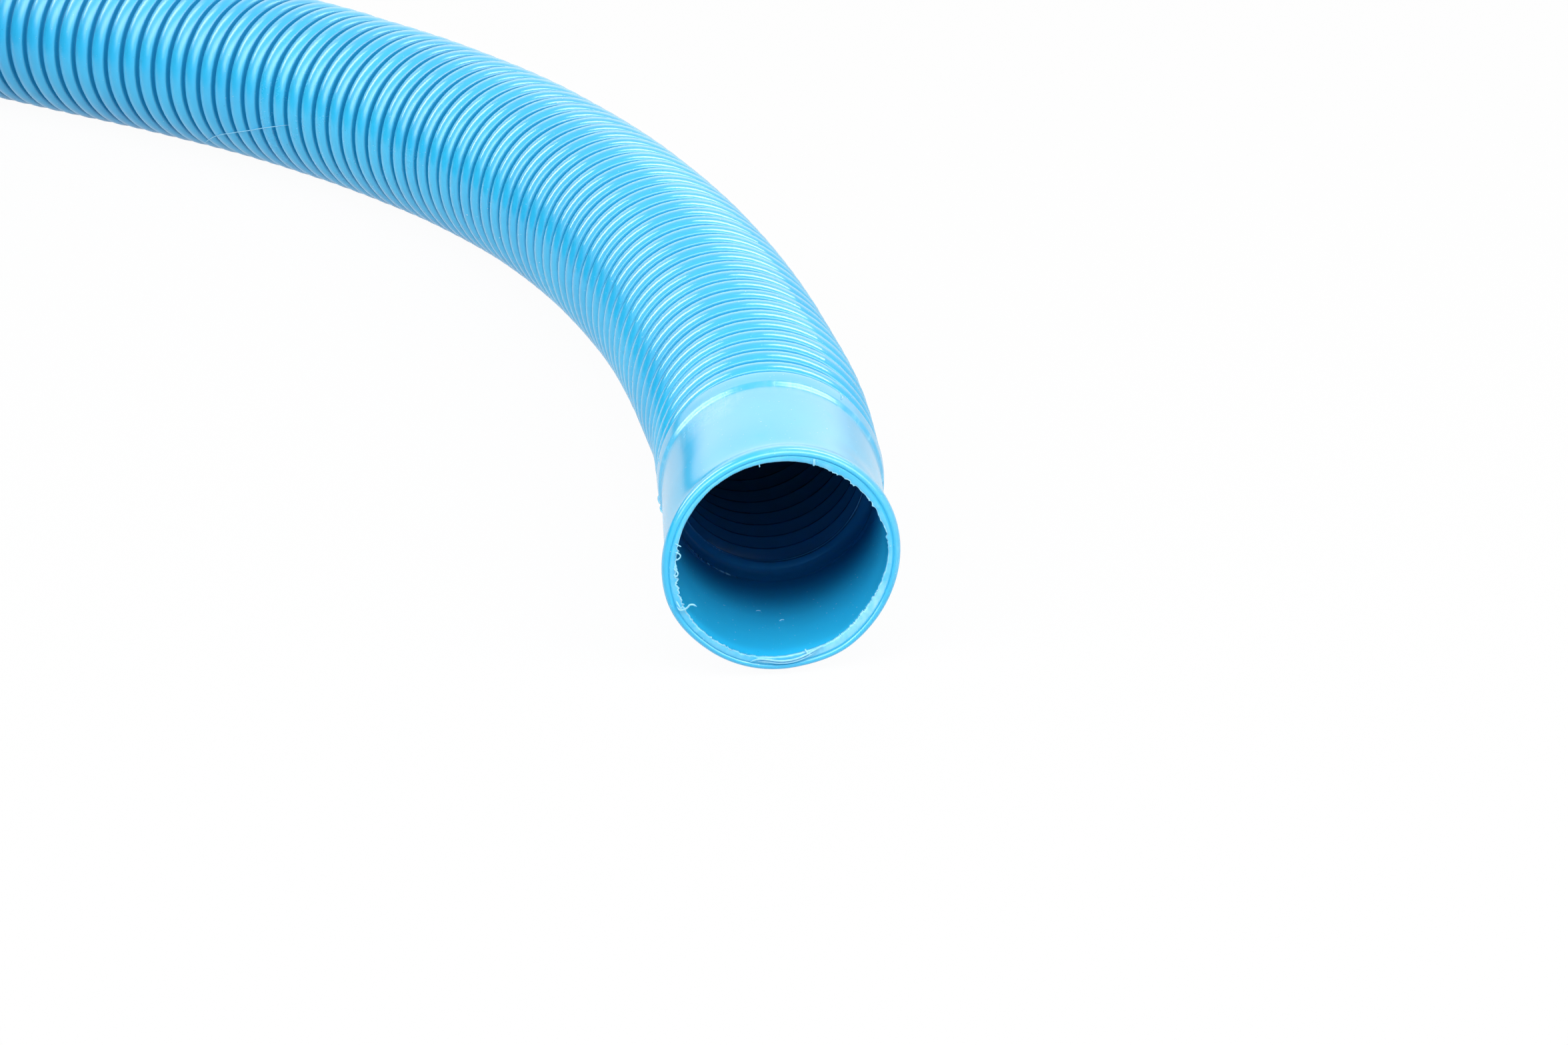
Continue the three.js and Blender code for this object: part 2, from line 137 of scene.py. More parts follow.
def spline(points):
    """A smooth curve through the points, whose speed follows the root of their distances."""
    padded = np.concatenate([[2 * points[0] - points[1]], points, [2 * points[-1] - points[-2]]])
    t = (np.arange(CURVE_STEPS) / CURVE_STEPS)[:, None]
    pieces = []
    for p0, p1, p2, p3 in zip(padded, padded[1:], padded[2:], padded[3:]):
        d0, d1, d2 = (np.linalg.norm(b - a) ** 0.5 for a, b in ((p0, p1), (p1, p2), (p2, p3)))
        m1 = ((p1 - p0) / d0 - (p2 - p0) / (d0 + d1) + (p2 - p1) / d1) * d1
        m2 = ((p2 - p1) / d1 - (p3 - p1) / (d1 + d2) + (p3 - p2) / d2) * d1
        rise = 3 * t**2 - 2 * t**3
        pieces.append(p1 + (p2 - p1) * rise + m1 * (t**3 - 2 * t**2 + t) + m2 * (t**3 - t**2))
    return np.concatenate([*pieces, points[-1:]])


class Route:
    """A line in space that can be read by the distance along it."""

    def __init__(self, points):
        self.points = points
        steps = np.linalg.norm(np.diff(self.points, axis=0), axis=1)
        self.distances = np.append(0, np.cumsum(steps))
        self.length = self.distances[-1]

    def at(self, distance):
        """The place at a distance, or one place for each of several distances."""
        return np.stack([np.interp(distance, self.distances, self.points[:, k]) for k in range(3)], axis=-1)

    def heading(self, distance, reach=2 * MM):
        """The direction of the line, taken from a reach before to a reach after a distance."""
        low = np.clip(distance - reach, 0, self.length - 2 * reach)
        step = self.at(low + 2 * reach) - self.at(low)
        return step / np.linalg.norm(step, axis=-1, keepdims=True)


def smooth(x):
    """A step from 0 to 1 that starts and ends gently."""
    t = np.clip(x, 0, 1)
    return t * t * (3 - 2 * t)


def between(x, first, last, rise=10, fall=None):
    """1 between two values and 0 outside them, with a gentle rise and fall inside."""
    return smooth((x - first) / rise) * smooth((last - x) / (fall or rise))


climb_points = np.array([
    at_mouth(x, y, 0) + [0, CUFF_LENGTH + GAP, HOSE_R + share * (TIE_THICKNESS + GAP)]
    for x, y, share in RUN_POINTS
])
run_line = Route(spline(climb_points))
RUN_LENGTH = RUN_RIBS * RIB_PITCH
run_end = run_line.at(RUN_LENGTH + GAP)
run_heading = run_line.heading(RUN_LENGTH + GAP)
heading_angle = math.atan2(run_heading[1], run_heading[0])

radial_rate = TURN_PITCH / (2 * math.pi)
coil_start = run_end + LEAD_LENGTH * np.array([math.cos(heading_angle), math.sin(heading_angle), 0])
coil_start[2] = HOSE_R + TIE_THICKNESS + GAP
start_angle = heading_angle - math.pi / 2 - math.atan(radial_rate / COIL_START_RADIUS)
coil_centre = coil_start - COIL_START_RADIUS * np.array([math.cos(start_angle), math.sin(start_angle), 0])


def turns_to_tail(end_radius):
    """The turns from the start to where the coil leaves along +X."""
    end_angle = math.atan(radial_rate / end_radius) - math.pi / 2
    return WHOLE_TURNS + ((end_angle - start_angle) / (2 * math.pi)) % 1


def coil_radius(turn):
    """Radius of the hose's centre line, inwards in the lower layer and outwards in the upper one."""
    return COIL_START_RADIUS - TURN_PITCH * np.where(turn < LAYER_TURNS, turn, 2 * LAYER_TURNS - turn)


coil_turns = turns_to_tail(coil_radius(turns_to_tail(COIL_START_RADIUS)))


def coil_point(turn):
    """The hose's centre, a number of turns after the coil's start: spiral in, climb, spiral out."""
    turn = np.asarray(turn, dtype=float)
    angle = start_angle + 2 * math.pi * turn
    climb = smooth((turn - LAYER_TURNS) / CLIMB_TURNS + 0.5) * LAYER_PITCH
    lift = smooth((turn - coil_turns) / TAIL_RISE_TURNS + 1) * (SWIVEL_R - HOSE_R)
    flat = coil_radius(turn)[..., None] * np.stack([np.cos(angle), np.sin(angle)], axis=-1)
    return np.concatenate([coil_centre[:2] + flat, (coil_centre[2] + climb + lift)[..., None]], axis=-1)


COIL_STEP = 0.004  # in turns
coil_line = coil_point(np.arange(0, coil_turns, COIL_STEP))
tail_start = coil_point(coil_turns)
tail_end = tail_start + [LEAD_LENGTH + GAP + TAIL_LENGTH + GAP, 0, 0]
before_end = run_line.points[run_line.distances < RUN_LENGTH]
hose_line = Route(np.concatenate([before_end, [run_end], coil_line, [tail_start, tail_end]]))

# ---- Mesh helpers ----
def add_piece(name, points, faces, material, body="hose", uv=None, sharp=None):
    """A piece that rides on a body, from arrays of points and of four-cornered faces."""
    mesh = bpy.data.meshes.new(name)
    mesh.from_pydata(points, [], faces)
    mesh.update(calc_edges=True)
    mesh.validate()
    mesh.shade_smooth()
    if sharp is not None:
        mesh.set_sharp_from_angle(angle=math.radians(sharp))
    if uv is not None:
        mesh.uv_layers.new(name="along_round").data.foreach_set("uv", uv.astype(np.float32).ravel())
    piece = new_object(name, mesh)
    mesh.materials.append(material)
    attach(piece, body)
    return piece


def ring_faces(rows, columns, wrap_rows):
    """Faces between rings that follow each other, with the row and column of every corner."""
    row, column = np.meshgrid(np.arange(rows if wrap_rows else rows - 1), np.arange(columns), indexing="ij")
    row, column = row.ravel(), column.ravel()
    corner_rows = np.stack([row, row, row + 1, row + 1], axis=1)
    corner_columns = np.stack([column, column + 1, column + 1, column], axis=1)
    faces = (corner_rows % rows) * columns + corner_columns % columns
    return faces, corner_rows, corner_columns


def add_rings(name, rings, along, material, body="hose", sharp=None):
    """A shell through rings of points, the last of which joins the first.

    along has each ring's distance, and may have one more for where the last ring joins the first.
    """
    rows, columns = rings.shape[:2]
    faces, corner_rows, corner_columns = ring_faces(rows, columns, True)
    points = rings.reshape(-1, 3)
    uv = np.stack([np.append(along, along[0])[corner_rows], corner_columns / columns], axis=-1)
    corners = points[faces]
    normals = np.cross(corners[:, 1] - corners[:, 0], corners[:, 2] - corners[:, 0])
    if (corners[:, 0] * normals).sum() < 0:
        faces, uv = faces[:, ::-1], uv[:, ::-1]
    return add_piece(name, points, faces, material, body, uv, sharp)


def circles(centre, heading, reference, radii, angles):
    """Rings about a line's points, square to its heading; radii has one row for each ring."""
    side = np.cross(heading, reference)
    side /= np.linalg.norm(side, axis=1, keepdims=True)
    up = np.cross(side, heading)
    around = np.cos(angles)[None, :, None] * side[:, None] + np.sin(angles)[None, :, None] * up[:, None]
    return centre[:, None] + radii[..., None] * around


def mark(piece, name, values):
    """Keep one number for each point of a piece, or for each ring of points. Its material reads them."""
    kept = piece.data.attributes.new(name, "FLOAT", "POINT")
    each = len(piece.data.vertices) // values.size
    kept.data.foreach_set("value", np.repeat(values, each).astype(np.float32))


# ---- Materials ----
class Nodes:
    """A short way to write the nodes of a material or the world. Kinds are named without ShaderNode."""

    def __init__(self, tree):
        self.tree = tree
        self.shader = tree.nodes.get("Principled BSDF")

    def fill(self, node, **values):
        """Give a node its settings, and its sockets values or links, with _ for each space in a name."""
        for key, value in values.items():
            if hasattr(node, key):
                setattr(node, key, value)
            else:
                self.set(node.inputs[key.replace("_", " ")], value)
        return node

    def add(self, kind, **values):
        return self.fill(self.tree.nodes.new("ShaderNode" + kind), **values)

    def set(self, socket, value):
        if isinstance(value, bpy.types.NodeSocket):
            self.tree.links.new(value, socket)
        else:
            socket.default_value = value

    def noise(self, scale, detail=3.0, roughness=0.5, stretch=(1, 1, 1), source="Object"):
        place = self.add("TexCoord").outputs[source]
        vector = self.add("Mapping", Vector=place, Scale=stretch).outputs["Vector"]
        node = self.add("TexNoise", Vector=vector, Scale=scale, Detail=detail, Roughness=roughness)
        return node.outputs["Fac"]

    def in_order(self, kind, *values, **settings):
        """The first output of a node whose first sockets have these values or links."""
        node = self.add(kind, **settings)
        for socket, value in zip(node.inputs, values):
            self.set(socket, value)
        return node.outputs[0]

    def math(self, operation, first, second=0.0):
        return self.in_order("Math", first, second, operation=operation)

    def ramp(self, *values, kind="SMOOTHSTEP"):
        """values are what is read, its low and high, and what they become if that isn't 0 and 1."""
        return self.in_order("MapRange", *values, interpolation_type=kind)

    def mix(self, share, first, second):
        """A colour between two colours."""
        node = self.add("Mix", data_type="RGBA")
        colours = [socket for socket in node.inputs if socket.type == "RGBA"]
        for socket, value in zip((node.inputs["Factor"], *colours), (share, first, second)):
            self.set(socket, value)
        return next(socket for socket in node.outputs if socket.type == "RGBA")

    def bump(self, height, distance, normal=None):
        node = self.add("Bump", Height=height, Distance=distance, Strength=1.0)
        if normal is not None:
            self.set(node.inputs["Normal"], normal)
        return node.outputs["Normal"]

    def along_and_round(self):
        """The distance along the hose or tape, and the share of the way round it."""
        place = self.add("UVMap", uv_map="along_round")
        split = self.add("SeparateXYZ", Vector=place.outputs["UV"])
        return split.outputs["X"], split.outputs["Y"]


def new_material(name):
    """A material and the short way to write its nodes."""
    material = bpy.data.materials.new(name)
    material.use_nodes = True
    return material, Nodes(material.node_tree)


def colour(red, green, blue):
    return (red, green, blue, 1.0)


HOSE_LIGHT = colour(0.026, 0.50, 0.83)
HOSE_DARK = colour(0.022, 0.465, 0.80)
SWIVEL_LIGHT = colour(0.012, 0.25, 0.58)
SWIVEL_DARK = colour(0.010, 0.22, 0.54)
# The pale of torn plastic, also used for the cuff's painted sheen and painted glints.
TORN_AND_SHEEN_PALE = colour(0.42, 0.78, 0.93)
TORN_DEEP = colour(0.16, 0.58, 0.84)
DUST_PALE = colour(0.7, 0.88, 0.96)
# A dark blue for painted shade in the grooves and deep in the bore, and the colour of specks of grit.
SHADE_AND_GRIT_BLUE = colour(0.006, 0.16, 0.36)
DUST_SHARE = 0.5
GRIT_SHARE = 0.7
PLASTIC_IOR = 1.54
PLASTIC_SPECULAR = 0.75
RUBBED_ROUGHER = 0.08
CUT_ROUGHER = 0.22
FAR_ROUGHER = 0.13
FAR_FROM, FAR_TO = 0.12, 0.32  # metres past the cuff
TOOL_LINES = (3200, 7, 1)  # a metre along the hose, and round it
DENT_DEPTHS = (0.002 * MM, 0.012 * MM)
TOOL_LINE_DEPTH = 0.0018 * MM


def moulded_blue(name, light, dark, gloss, tooled):
    """Glossy polyethylene with faint clouds, fine dents and dust, pale torn plastic, painted sheen and
    glints, and painted shade.

    A tooled surface also has the fine lines that a turned mould leaves round the hose.
    """
    material, nodes = new_material(name)
    clouds = nodes.noise(45, 4)
    rubbed = nodes.ramp(nodes.noise(180, 6, 0.65), 0.55, 0.75)
    dust = nodes.ramp(nodes.noise(2600, 1), 0.76, 0.8)
    grit = nodes.ramp(nodes.noise(1700, 1), 0.79, 0.83)
    pale_patches = nodes.ramp(nodes.noise(900, 4), 0.25, 0.75, 0.35, 0.8)
    wear_and_sheen, inside = (nodes.add("Attribute", attribute_name=kept).outputs["Fac"]
                   for kept in ("wear_and_sheen", "inside"))

    skin = nodes.mix(nodes.ramp(clouds, 0.35, 0.65), dark, light)
    skin = nodes.mix(nodes.math("MULTIPLY", grit, GRIT_SHARE), skin, SHADE_AND_GRIT_BLUE)
    skin = nodes.mix(nodes.math("MULTIPLY", dust, DUST_SHARE), skin, DUST_PALE)
    # Painted shade: where a piece marks inside, the colour goes towards the dark blue.
    skin = nodes.mix(inside, skin, SHADE_AND_GRIT_BLUE)
    # Pale where the cuff is torn or scuffed, and also a painted sheen on the bead and painted glints in the
    # bore.
    skin = nodes.mix(nodes.math("MULTIPLY", wear_and_sheen, pale_patches), skin, TORN_AND_SHEEN_PALE)

    rough = nodes.ramp(rubbed, 0, 1, gloss, gloss + RUBBED_ROUGHER)
    rough = nodes.math("ADD", rough, nodes.math("MULTIPLY", wear_and_sheen, CUT_ROUGHER))
    normal = nodes.bump(nodes.noise(1100, 2), DENT_DEPTHS[0])
    normal = nodes.bump(nodes.noise(160, 2), DENT_DEPTHS[1], normal)
    if tooled:
        along, _ = nodes.along_and_round()
        rough = nodes.math("ADD", rough, nodes.ramp(along, FAR_FROM, FAR_TO, 0.0, FAR_ROUGHER))
        normal = nodes.bump(nodes.noise(1.0, 2, 0.6, TOOL_LINES, "UV"), TOOL_LINE_DEPTH, normal)
    nodes.fill(nodes.shader, Base_Color=skin, Roughness=rough, Normal=normal, IOR=PLASTIC_IOR,
               Specular_IOR_Level=PLASTIC_SPECULAR)
    return material


def mottled(name, dark, light, patches, sheen, roughness, grain, depth, ior=1.5):
    """A plain material with uneven colour, gloss and grain.

    patches, sheen and grain are each a noise's scale and detail; roughness is its least and most.
    """
    material, nodes = new_material(name)
    nodes.fill(nodes.shader, Base_Color=nodes.mix(nodes.noise(*patches), dark, light),
               Roughness=nodes.ramp(nodes.noise(*sheen), 0.3, 0.7, *roughness),
               Normal=nodes.bump(nodes.noise(*grain), depth), IOR=ior)
    return material


WEFT_SPACING = 1.1 * MM
WARP_THREADS = 52
WEAVE_DEPTH = 0.12 * MM
TAPE_DARK = colour(0.010, 0.011, 0.013)
TAPE_LIGHT = colour(0.055, 0.058, 0.064)


def webbing():
    """Woven nylon tape: ribs across the tape from the weft and fine threads along it."""
    material, nodes = new_material("tie_webbing")
    along, across = nodes.along_and_round()
    weft = nodes.math("SINE", nodes.math("MULTIPLY", along, 2 * math.pi / WEFT_SPACING))
    warp = nodes.math("SINE", nodes.math("MULTIPLY", across, 2 * math.pi * WARP_THREADS))
    threads = nodes.math("MULTIPLY", weft, warp)
    fuzz = nodes.noise(3000, 2)
    nodes.fill(nodes.shader, Base_Color=nodes.mix(nodes.ramp(threads, -1, 1), TAPE_DARK, TAPE_LIGHT),
               Roughness=nodes.ramp(fuzz, 0.3, 0.7, 0.7, 0.95),
               Normal=nodes.bump(nodes.math("ADD", threads, fuzz), WEAVE_DEPTH),
               Sheen_Weight=0.25, Sheen_Roughness=0.5)
    return material


hose_plastic = moulded_blue("hose_plastic", HOSE_LIGHT, HOSE_DARK, 0.18, True)
swivel_plastic = moulded_blue("swivel_plastic", SWIVEL_LIGHT, SWIVEL_DARK, 0.3, False)
torn_plastic = mottled("torn_plastic", TORN_DEEP, TORN_AND_SHEEN_PALE, (1500, 3), (2500, 3), (0.35, 0.6), (3000, 2),
                       0.02 * MM, PLASTIC_IOR)
rubber = mottled("seal_rubber", colour(0.012, 0.012, 0.014), colour(0.03, 0.03, 0.033), (300, 5), (500, 4),
                 (0.5, 0.75), (1500, 3), 0.02 * MM)
nylon = mottled("keeper_nylon", colour(0.012, 0.012, 0.013), colour(0.028, 0.028, 0.03), (200, 4), (400, 4),
                (0.38, 0.55), (1800, 2), 0.015 * MM)
tape = webbing()

# ---- Ribbed hose ----
# A rib's crest is a round arch, and the groove between two ribs is narrow with steep walls.
CREST_RADIUS = 3.0 * MM
CREST_HALF = 1.76 * MM
GROOVE_HALF = 0.45 * MM
CREST_EDGE = CREST_RADIUS - math.sqrt(CREST_RADIUS**2 - CREST_HALF**2)
FINE_SIDES, PLAIN_SIDES = 64, 40
RIB_JITTER = 0.012 * MM
SWELLS = 5
SWELL_HEIGHT = 0.02 * MM

# The grooves get a painted shade, which is wider and deeper far from the cuff.
SHADE_NEAR, SHADE_FAR = 0.46, 0.62
SHADE_CHANGES_AT, SHADE_CHANGES_OVER = 80 * MM, 150 * MM
SHADE_FADE = 0.22 * MM
SHADE_FAR_WIDER = 0.14 * MM

# The mould's parting line: its angle and width in degrees, its height, and where it fades.
PARTING_ANGLE, PARTING_WIDTH = 57.0, 0.8
PARTING_HEIGHT = 0.05 * MM
PARTING_OFFSETS = (-1.4, -0.6, 0, 0.6, 1.4)
PARTING_FADES_AT, PARTING_FADES_OVER = 130 * MM, 50 * MM


def across_rib(steps):
    """Places across one rib, in metres from its middle, from one groove's middle to before the next."""
    half = [-x * MM for x in steps[:0:-1]] + [x * MM for x in steps]
    return np.array([-RIB_PITCH / 2, *half])


FINE_RIB = across_rib((0, 0.4, 0.8, 1.15, 1.45, 1.65, 1.78, 1.88, 1.98, 2.08, 2.3))
PLAIN_RIB = across_rib((0, 0.9, 1.5, 1.77, 1.93, 2.1))
FINE_BORE = across_rib((0, 1.5, 2.2))
PLAIN_BORE = np.array([-RIB_PITCH / 2])


def rib_radius(x):
    """Radius of the outside at a distance from the middle of a rib."""
    away = np.abs(x)
    on_crest = np.minimum(away, CREST_HALF)
    crest = CREST_RADIUS - np.sqrt(CREST_RADIUS**2 - on_crest**2)
    wall = smooth((away - CREST_HALF) / (RIB_PITCH / 2 - GROOVE_HALF - CREST_HALF))
    return HOSE_R - crest - (RIB_DEPTH - CREST_EDGE) * wall


def section_angles(sides, fine):
    """Angles of a ring, with a few close together at the parting line where it is fine."""
    angles = list(np.arange(sides) * 2 * math.pi / sides)
    if fine:
        angles += [math.radians(PARTING_ANGLE + offset) for offset in PARTING_OFFSETS]
    return np.array(sorted(angles))


def rings_along(distances, radii, angles):
    """Rings square to the hose's line at distances along it; radii has one row for each."""
    return circles(hose_line.at(distances), hose_line.heading(distances), UP, radii, angles)


def unevenness(distances, angles, seed):
    """Slow swells of some hundredths of a millimetre, as the mould and handling leave."""
    random = np.random.default_rng(seed)
    total = np.zeros((len(distances), len(angles)))
    for _ in range(SWELLS):
        rate = random.uniform(20, 160)
        lobes = random.integers(2, 6)
        phase = random.uniform(0, 2 * math.pi)
        total += np.sin(rate * distances[:, None] + lobes * angles[None] + phase)
    return total * SWELL_HEIGHT


def along_ribs(steps, start, ribs, pitch):
    """The distances of all steps of the ribs along the hose, and from the middles of their ribs."""
    middles = (np.arange(ribs)[:, None] + 0.5) * RIB_PITCH
    places = np.append((middles + steps).ravel(), ribs * RIB_PITCH)
    return start + places * (pitch / RIB_PITCH), np.append(np.tile(steps, ribs), RIB_PITCH / 2)


def ribbed_piece(name, start, ribs, fine, seed, pitch=RIB_PITCH):
    """A length of hose with its bore, from the middle of one groove to the middle of another."""
    steps = FINE_RIB if fine else PLAIN_RIB
    bore_steps = FINE_BORE if fine else PLAIN_BORE
    angles = section_angles(FINE_SIDES if fine else PLAIN_SIDES, fine)
    outside, across = along_ribs(steps, start, ribs, pitch)
    inside, across_bore = along_ribs(bore_steps, start, ribs, pitch)

    random = np.random.default_rng(seed)
    on_crest = 1 - (np.abs(across) / (RIB_PITCH / 2)) ** 2
    jitter = np.append(np.repeat(random.normal(0, RIB_JITTER, ribs), len(steps)), 0)
    radii = (rib_radius(across) + jitter * on_crest)[:, None] + unevenness(outside, angles, seed)
    if fine:
        strength = np.append(np.repeat(random.uniform(0.1, 1.0, ribs), len(steps)), 0) * on_crest
        strength = strength * smooth((PARTING_FADES_AT - outside) / PARTING_FADES_OVER)
        away = np.degrees(angles) - PARTING_ANGLE
        radii += strength[:, None] * PARTING_HEIGHT * np.exp(-((away / PARTING_WIDTH) ** 2))[None]
    bore_radii = np.repeat((rib_radius(across_bore) - HOSE_WALL)[:, None], len(angles), axis=1)

    bore_rings = rings_along(inside[::-1], bore_radii[::-1], angles)
    rings = np.concatenate([rings_along(outside, radii, angles), bore_rings])
    piece = add_rings(name, rings, np.concatenate([outside, inside[::-1]]), hose_plastic)

    # Painted shade: the grooves are marked darker, and the whole bore fully so.
    far = smooth((outside - SHADE_CHANGES_AT) / SHADE_CHANGES_OVER)
    wider = far * SHADE_FAR_WIDER
    in_groove = smooth((np.abs(across) - CREST_HALF + wider) / (SHADE_FADE + wider))
    shade = (SHADE_NEAR + (SHADE_FAR - SHADE_NEAR) * far) * in_groove
    mark(piece, "inside", np.append(shade, np.ones(len(inside))))
    return piece


NEAR_RIBS = 47
COILED_PIECES = 6
FIRST_SEED = 11

near_piece = ribbed_piece("hose_length_1", 0.0, NEAR_RIBS, True, FIRST_SEED)
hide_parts("hose_run")
far_start, far_ribs = NEAR_RIBS * RIB_PITCH, RUN_RIBS - NEAR_RIBS
far_piece = ribbed_piece("hose_length_2", far_start, far_ribs, True, FIRST_SEED + 1)

coiled_ribs = round((hose_line.length - RUN_LENGTH) / RIB_PITCH)
coiled_pitch = (hose_line.length - RUN_LENGTH) / coiled_ribs
shares = np.linspace(0, coiled_ribs, COILED_PIECES + 1).astype(int)
for number, (first, last) in enumerate(zip(shares, shares[1:]), start=3):
    start = RUN_LENGTH + first * coiled_pitch
    seed = FIRST_SEED + number
    piece = ribbed_piece(f"hose_length_{number}", start, last - first, False, seed, coiled_pitch)

# ---- Near cuff ----
COLLAR_START = 29.9 * MM
COLLAR_RISE = 1.8 * MM
COLLAR_STEP = 0.55 * MM
NECK_R = HOSE_R - NECK_STEP
CUFF_BORE_R = NECK_R - CUFF_WALL
LIP_GROOVE_R = 17.75 * MM
CUFF_SIDES = 620
COMB_FROM, COMB_TO = 298.0, 332.0

# The mouth was trimmed by hand: its plane is a little askew, its outline a little oval.
MOUTH_BACK = -0.65 * MM
MOUTH_YAW = 2.45 * MM
MOUTH_LEAN = 1.5 * MM
MOUTH_ASIDE = 0.4 * MM
MOUTH_FLAT = 0.58 * MM
SKEW_FROM = 4.5 * MM
SKEW_LENGTH = 9.5 * MM

OVAL = (0.06 * MM, 0.16 * MM, 0.14 * MM)
FLAT_FROM, FLAT_RISE = 195, 35  # degrees
FLAT_TO, FLAT_FALL = 308, 30

# Width of the lip from the bead's groove to the cut edge, and how ragged the cut is: [degrees, mm].
LIP_WIDTHS = (
    (0, 0.85), (13, 0.8), (25, 1.1), (47, 1.2), (65, 1.3), (73, 1.1), (90, 0.9), (111, 0.62), (132, 0.55),
    (154, 0.72), (175, 1.0), (200, 1.1), (225, 1.1), (250, 1.2), (270, 1.3), (290, 1.4), (310, 1.65),
    (330, 1.55), (345, 1.2), (360, 0.85),
)
RAGGED_SIZES = (
    (0, 0.08), (8, 0.16), (20, 0.13), (62, 0.16), (70, 0.1), (78, 0.015), (160, 0.02), (172, 0.2),
    (205, 0.26), (218, 0.1), (250, 0.13), (262, 0.04), (292, 0.05), (300, 0.1), (335, 0.12), (345, 0.07),
    (360, 0.08),
)
COMB_FADE = 4  # degrees
COMB_TEETH = 380
COMB_DEPTH = 0.05 * MM
COMB_STEP = 0.2  # degrees


def mouth_move(along, angles):
    """How far a point of the cuff moves along, outwards and sideways because the mouth is askew."""
    share = 1 - smooth((along - SKEW_FROM) / SKEW_LENGTH)
    back = MOUTH_BACK + MOUTH_YAW * np.cos(angles) + MOUTH_LEAN * np.sin(angles)
    oval = OVAL[0] + OVAL[1] * np.cos(2 * angles) + OVAL[2] * np.sin(2 * angles)
    turn = np.degrees(angles) % 360
    oval = oval - MOUTH_FLAT * between(turn, FLAT_FROM, FLAT_TO, FLAT_RISE, FLAT_FALL)
    return share * back, share * oval, share * MOUTH_ASIDE


def on_cuff(along, radius, angles):
    """Points of the cuff from arrays of distance from the mouth, radius and angle."""
    along, radius, angles = np.broadcast_arrays(along, radius, angles)
    back, oval, aside = mouth_move(along, angles)
    x = MOUTH[0] + aside + (radius + oval) * np.cos(angles)
    z = HOSE_R + (radius + oval) * np.sin(angles)
    return np.stack([x, MOUTH[1] + along + back, z], axis=-1)


def jagged(angles, spacing, seed):
    """Uneven teeth from 0 to 1 round the mouth, few of them large."""
    random = np.random.default_rng(seed)
    count = int(360 / spacing)
    places = np.sort(random.uniform(0, 360, count))
    heights = random.uniform(0, 1, count) ** 2.2
    return np.interp(np.degrees(angles) % 360, places, heights, period=360)


def cut_edge(angles):
    """Radius of the lip's cut edge at each angle."""
    turn = np.degrees(angles) % 360
    width = np.interp(turn, *zip(*LIP_WIDTHS)) * MM
    ragged = np.interp(turn, *zip(*RAGGED_SIZES)) * MM
    teeth = jagged(angles, 0.9, 3) * 2.2 + jagged(angles, 3.7, 4) - 0.8
    comb = np.clip((turn - COMB_FROM) / COMB_FADE, 0, 1) * np.clip((COMB_TO - turn) / COMB_FADE, 0, 1)
    comb = comb * np.sin(np.radians(turn) * COMB_TEETH) * COMB_DEPTH
    return LIP_GROOVE_R - width - ragged * teeth + comb


def cuff_angles():
    """Angles round the cuff, closer together where the knife left a comb of fine marks."""
    even = np.arange(CUFF_SIDES) * 360 / CUFF_SIDES
    fine = np.arange(COMB_FROM, COMB_TO, COMB_STEP)
    return np.radians(np.unique(np.concatenate([even[(even < COMB_FROM) | (even > COMB_TO)], fine])))


# The cuff's wall, as [mm from the mouth, radius in mm]: first over the bead, from the groove inside it.
BEAD = (
    (0.3, 17.75), (0.24, 17.83), (0.11, 17.93), (0.03, 18.08), (0.08, 18.3), (0.22, 18.52), (0.45, 18.7),
    (0.8, 18.85), (1.2, 18.93), (1.6, 18.95), (2.1, 18.9), (2.6, 18.77), (3.1, 18.6), (3.6, 18.44),
    (4.2, 18.31), (4.9, 18.255),
)
NECK_PLACES = (6.5, 9, 12, 15, 18, 21, 24, 27, 29)
# The collar's crest, as [mm from the mouth, mm below the ribs' crests].
COLLAR_CREST = (
    (32.1, 0.17), (32.6, 0.125), (33.2, 0.075), (33.8, 0.035), (34.4, 0.01), (34.9, 0), (35.3, 0.06),
    (35.6, 0.22), (35.9, 0.6), (36.1, 1.0), (36.3, 1.45), (36.5, 1.8),
)
# The collar from inside, as [mm from the mouth, mm above the foot of the ribs in the bore].
COLLAR_INSIDE = ((36.5, 0), (36.1, 0.15), (35.6, 0.9), (34.9, 1.5), (33.8, 1.75), (32.4, 1.7))
# Where the collar meets the bore, as [mm from the mouth, mm above the bore], and the bore up to the bead.
BORE_BACK = ((31.2, 0.3), (30.2, 0.05))
BORE_PLACES = (28, 25, 22, 19, 16, 13, 10, 8)
# From the bore to the lip the wall follows the bead, so that a shallow channel lies behind the lip.
BORE_FRONT = (
    (6.0, 17.15), (4.8, 17.15), (4.1, 17.18), (3.5, 17.28), (2.9, 17.42), (2.3, 17.5), (1.8, 17.5),
    (1.4, 17.42),
)
# The lip's rows: [mm from the mouth, mm outwards, share of the way to the cut edge].
LIP_ROWS = (
    (0.9, 0.35, 0.95), (0.62, 0, 1), (0.36, -0.02, 1), (0.2, 0.06, 1), (0.12, 0, 0.82), (0.1, 0, 0.55),
    (0.1, 0, 0.3), (0.14, 0, 0.14), (0.22, 0, 0.05),
)
EDGE_ROWS = slice(-9, -5)
FLAT_ROWS = slice(-5, -2)
# Rows of the bead's top with a painted sheen, and rows of the bore with painted glints.
BEAD_TOP_ROWS = slice(4, 13)
PAINTED_GLINT_ROWS = (0, 6)
LIP_WAVE = 0.08 * MM
CUFF_SWELL = 1.5
# Where the painted shade in the cuff's bore begins, and over how far it deepens.
BORE_DARKENS_AT, BORE_DARKENS_OVER = 15 * MM, 14 * MM


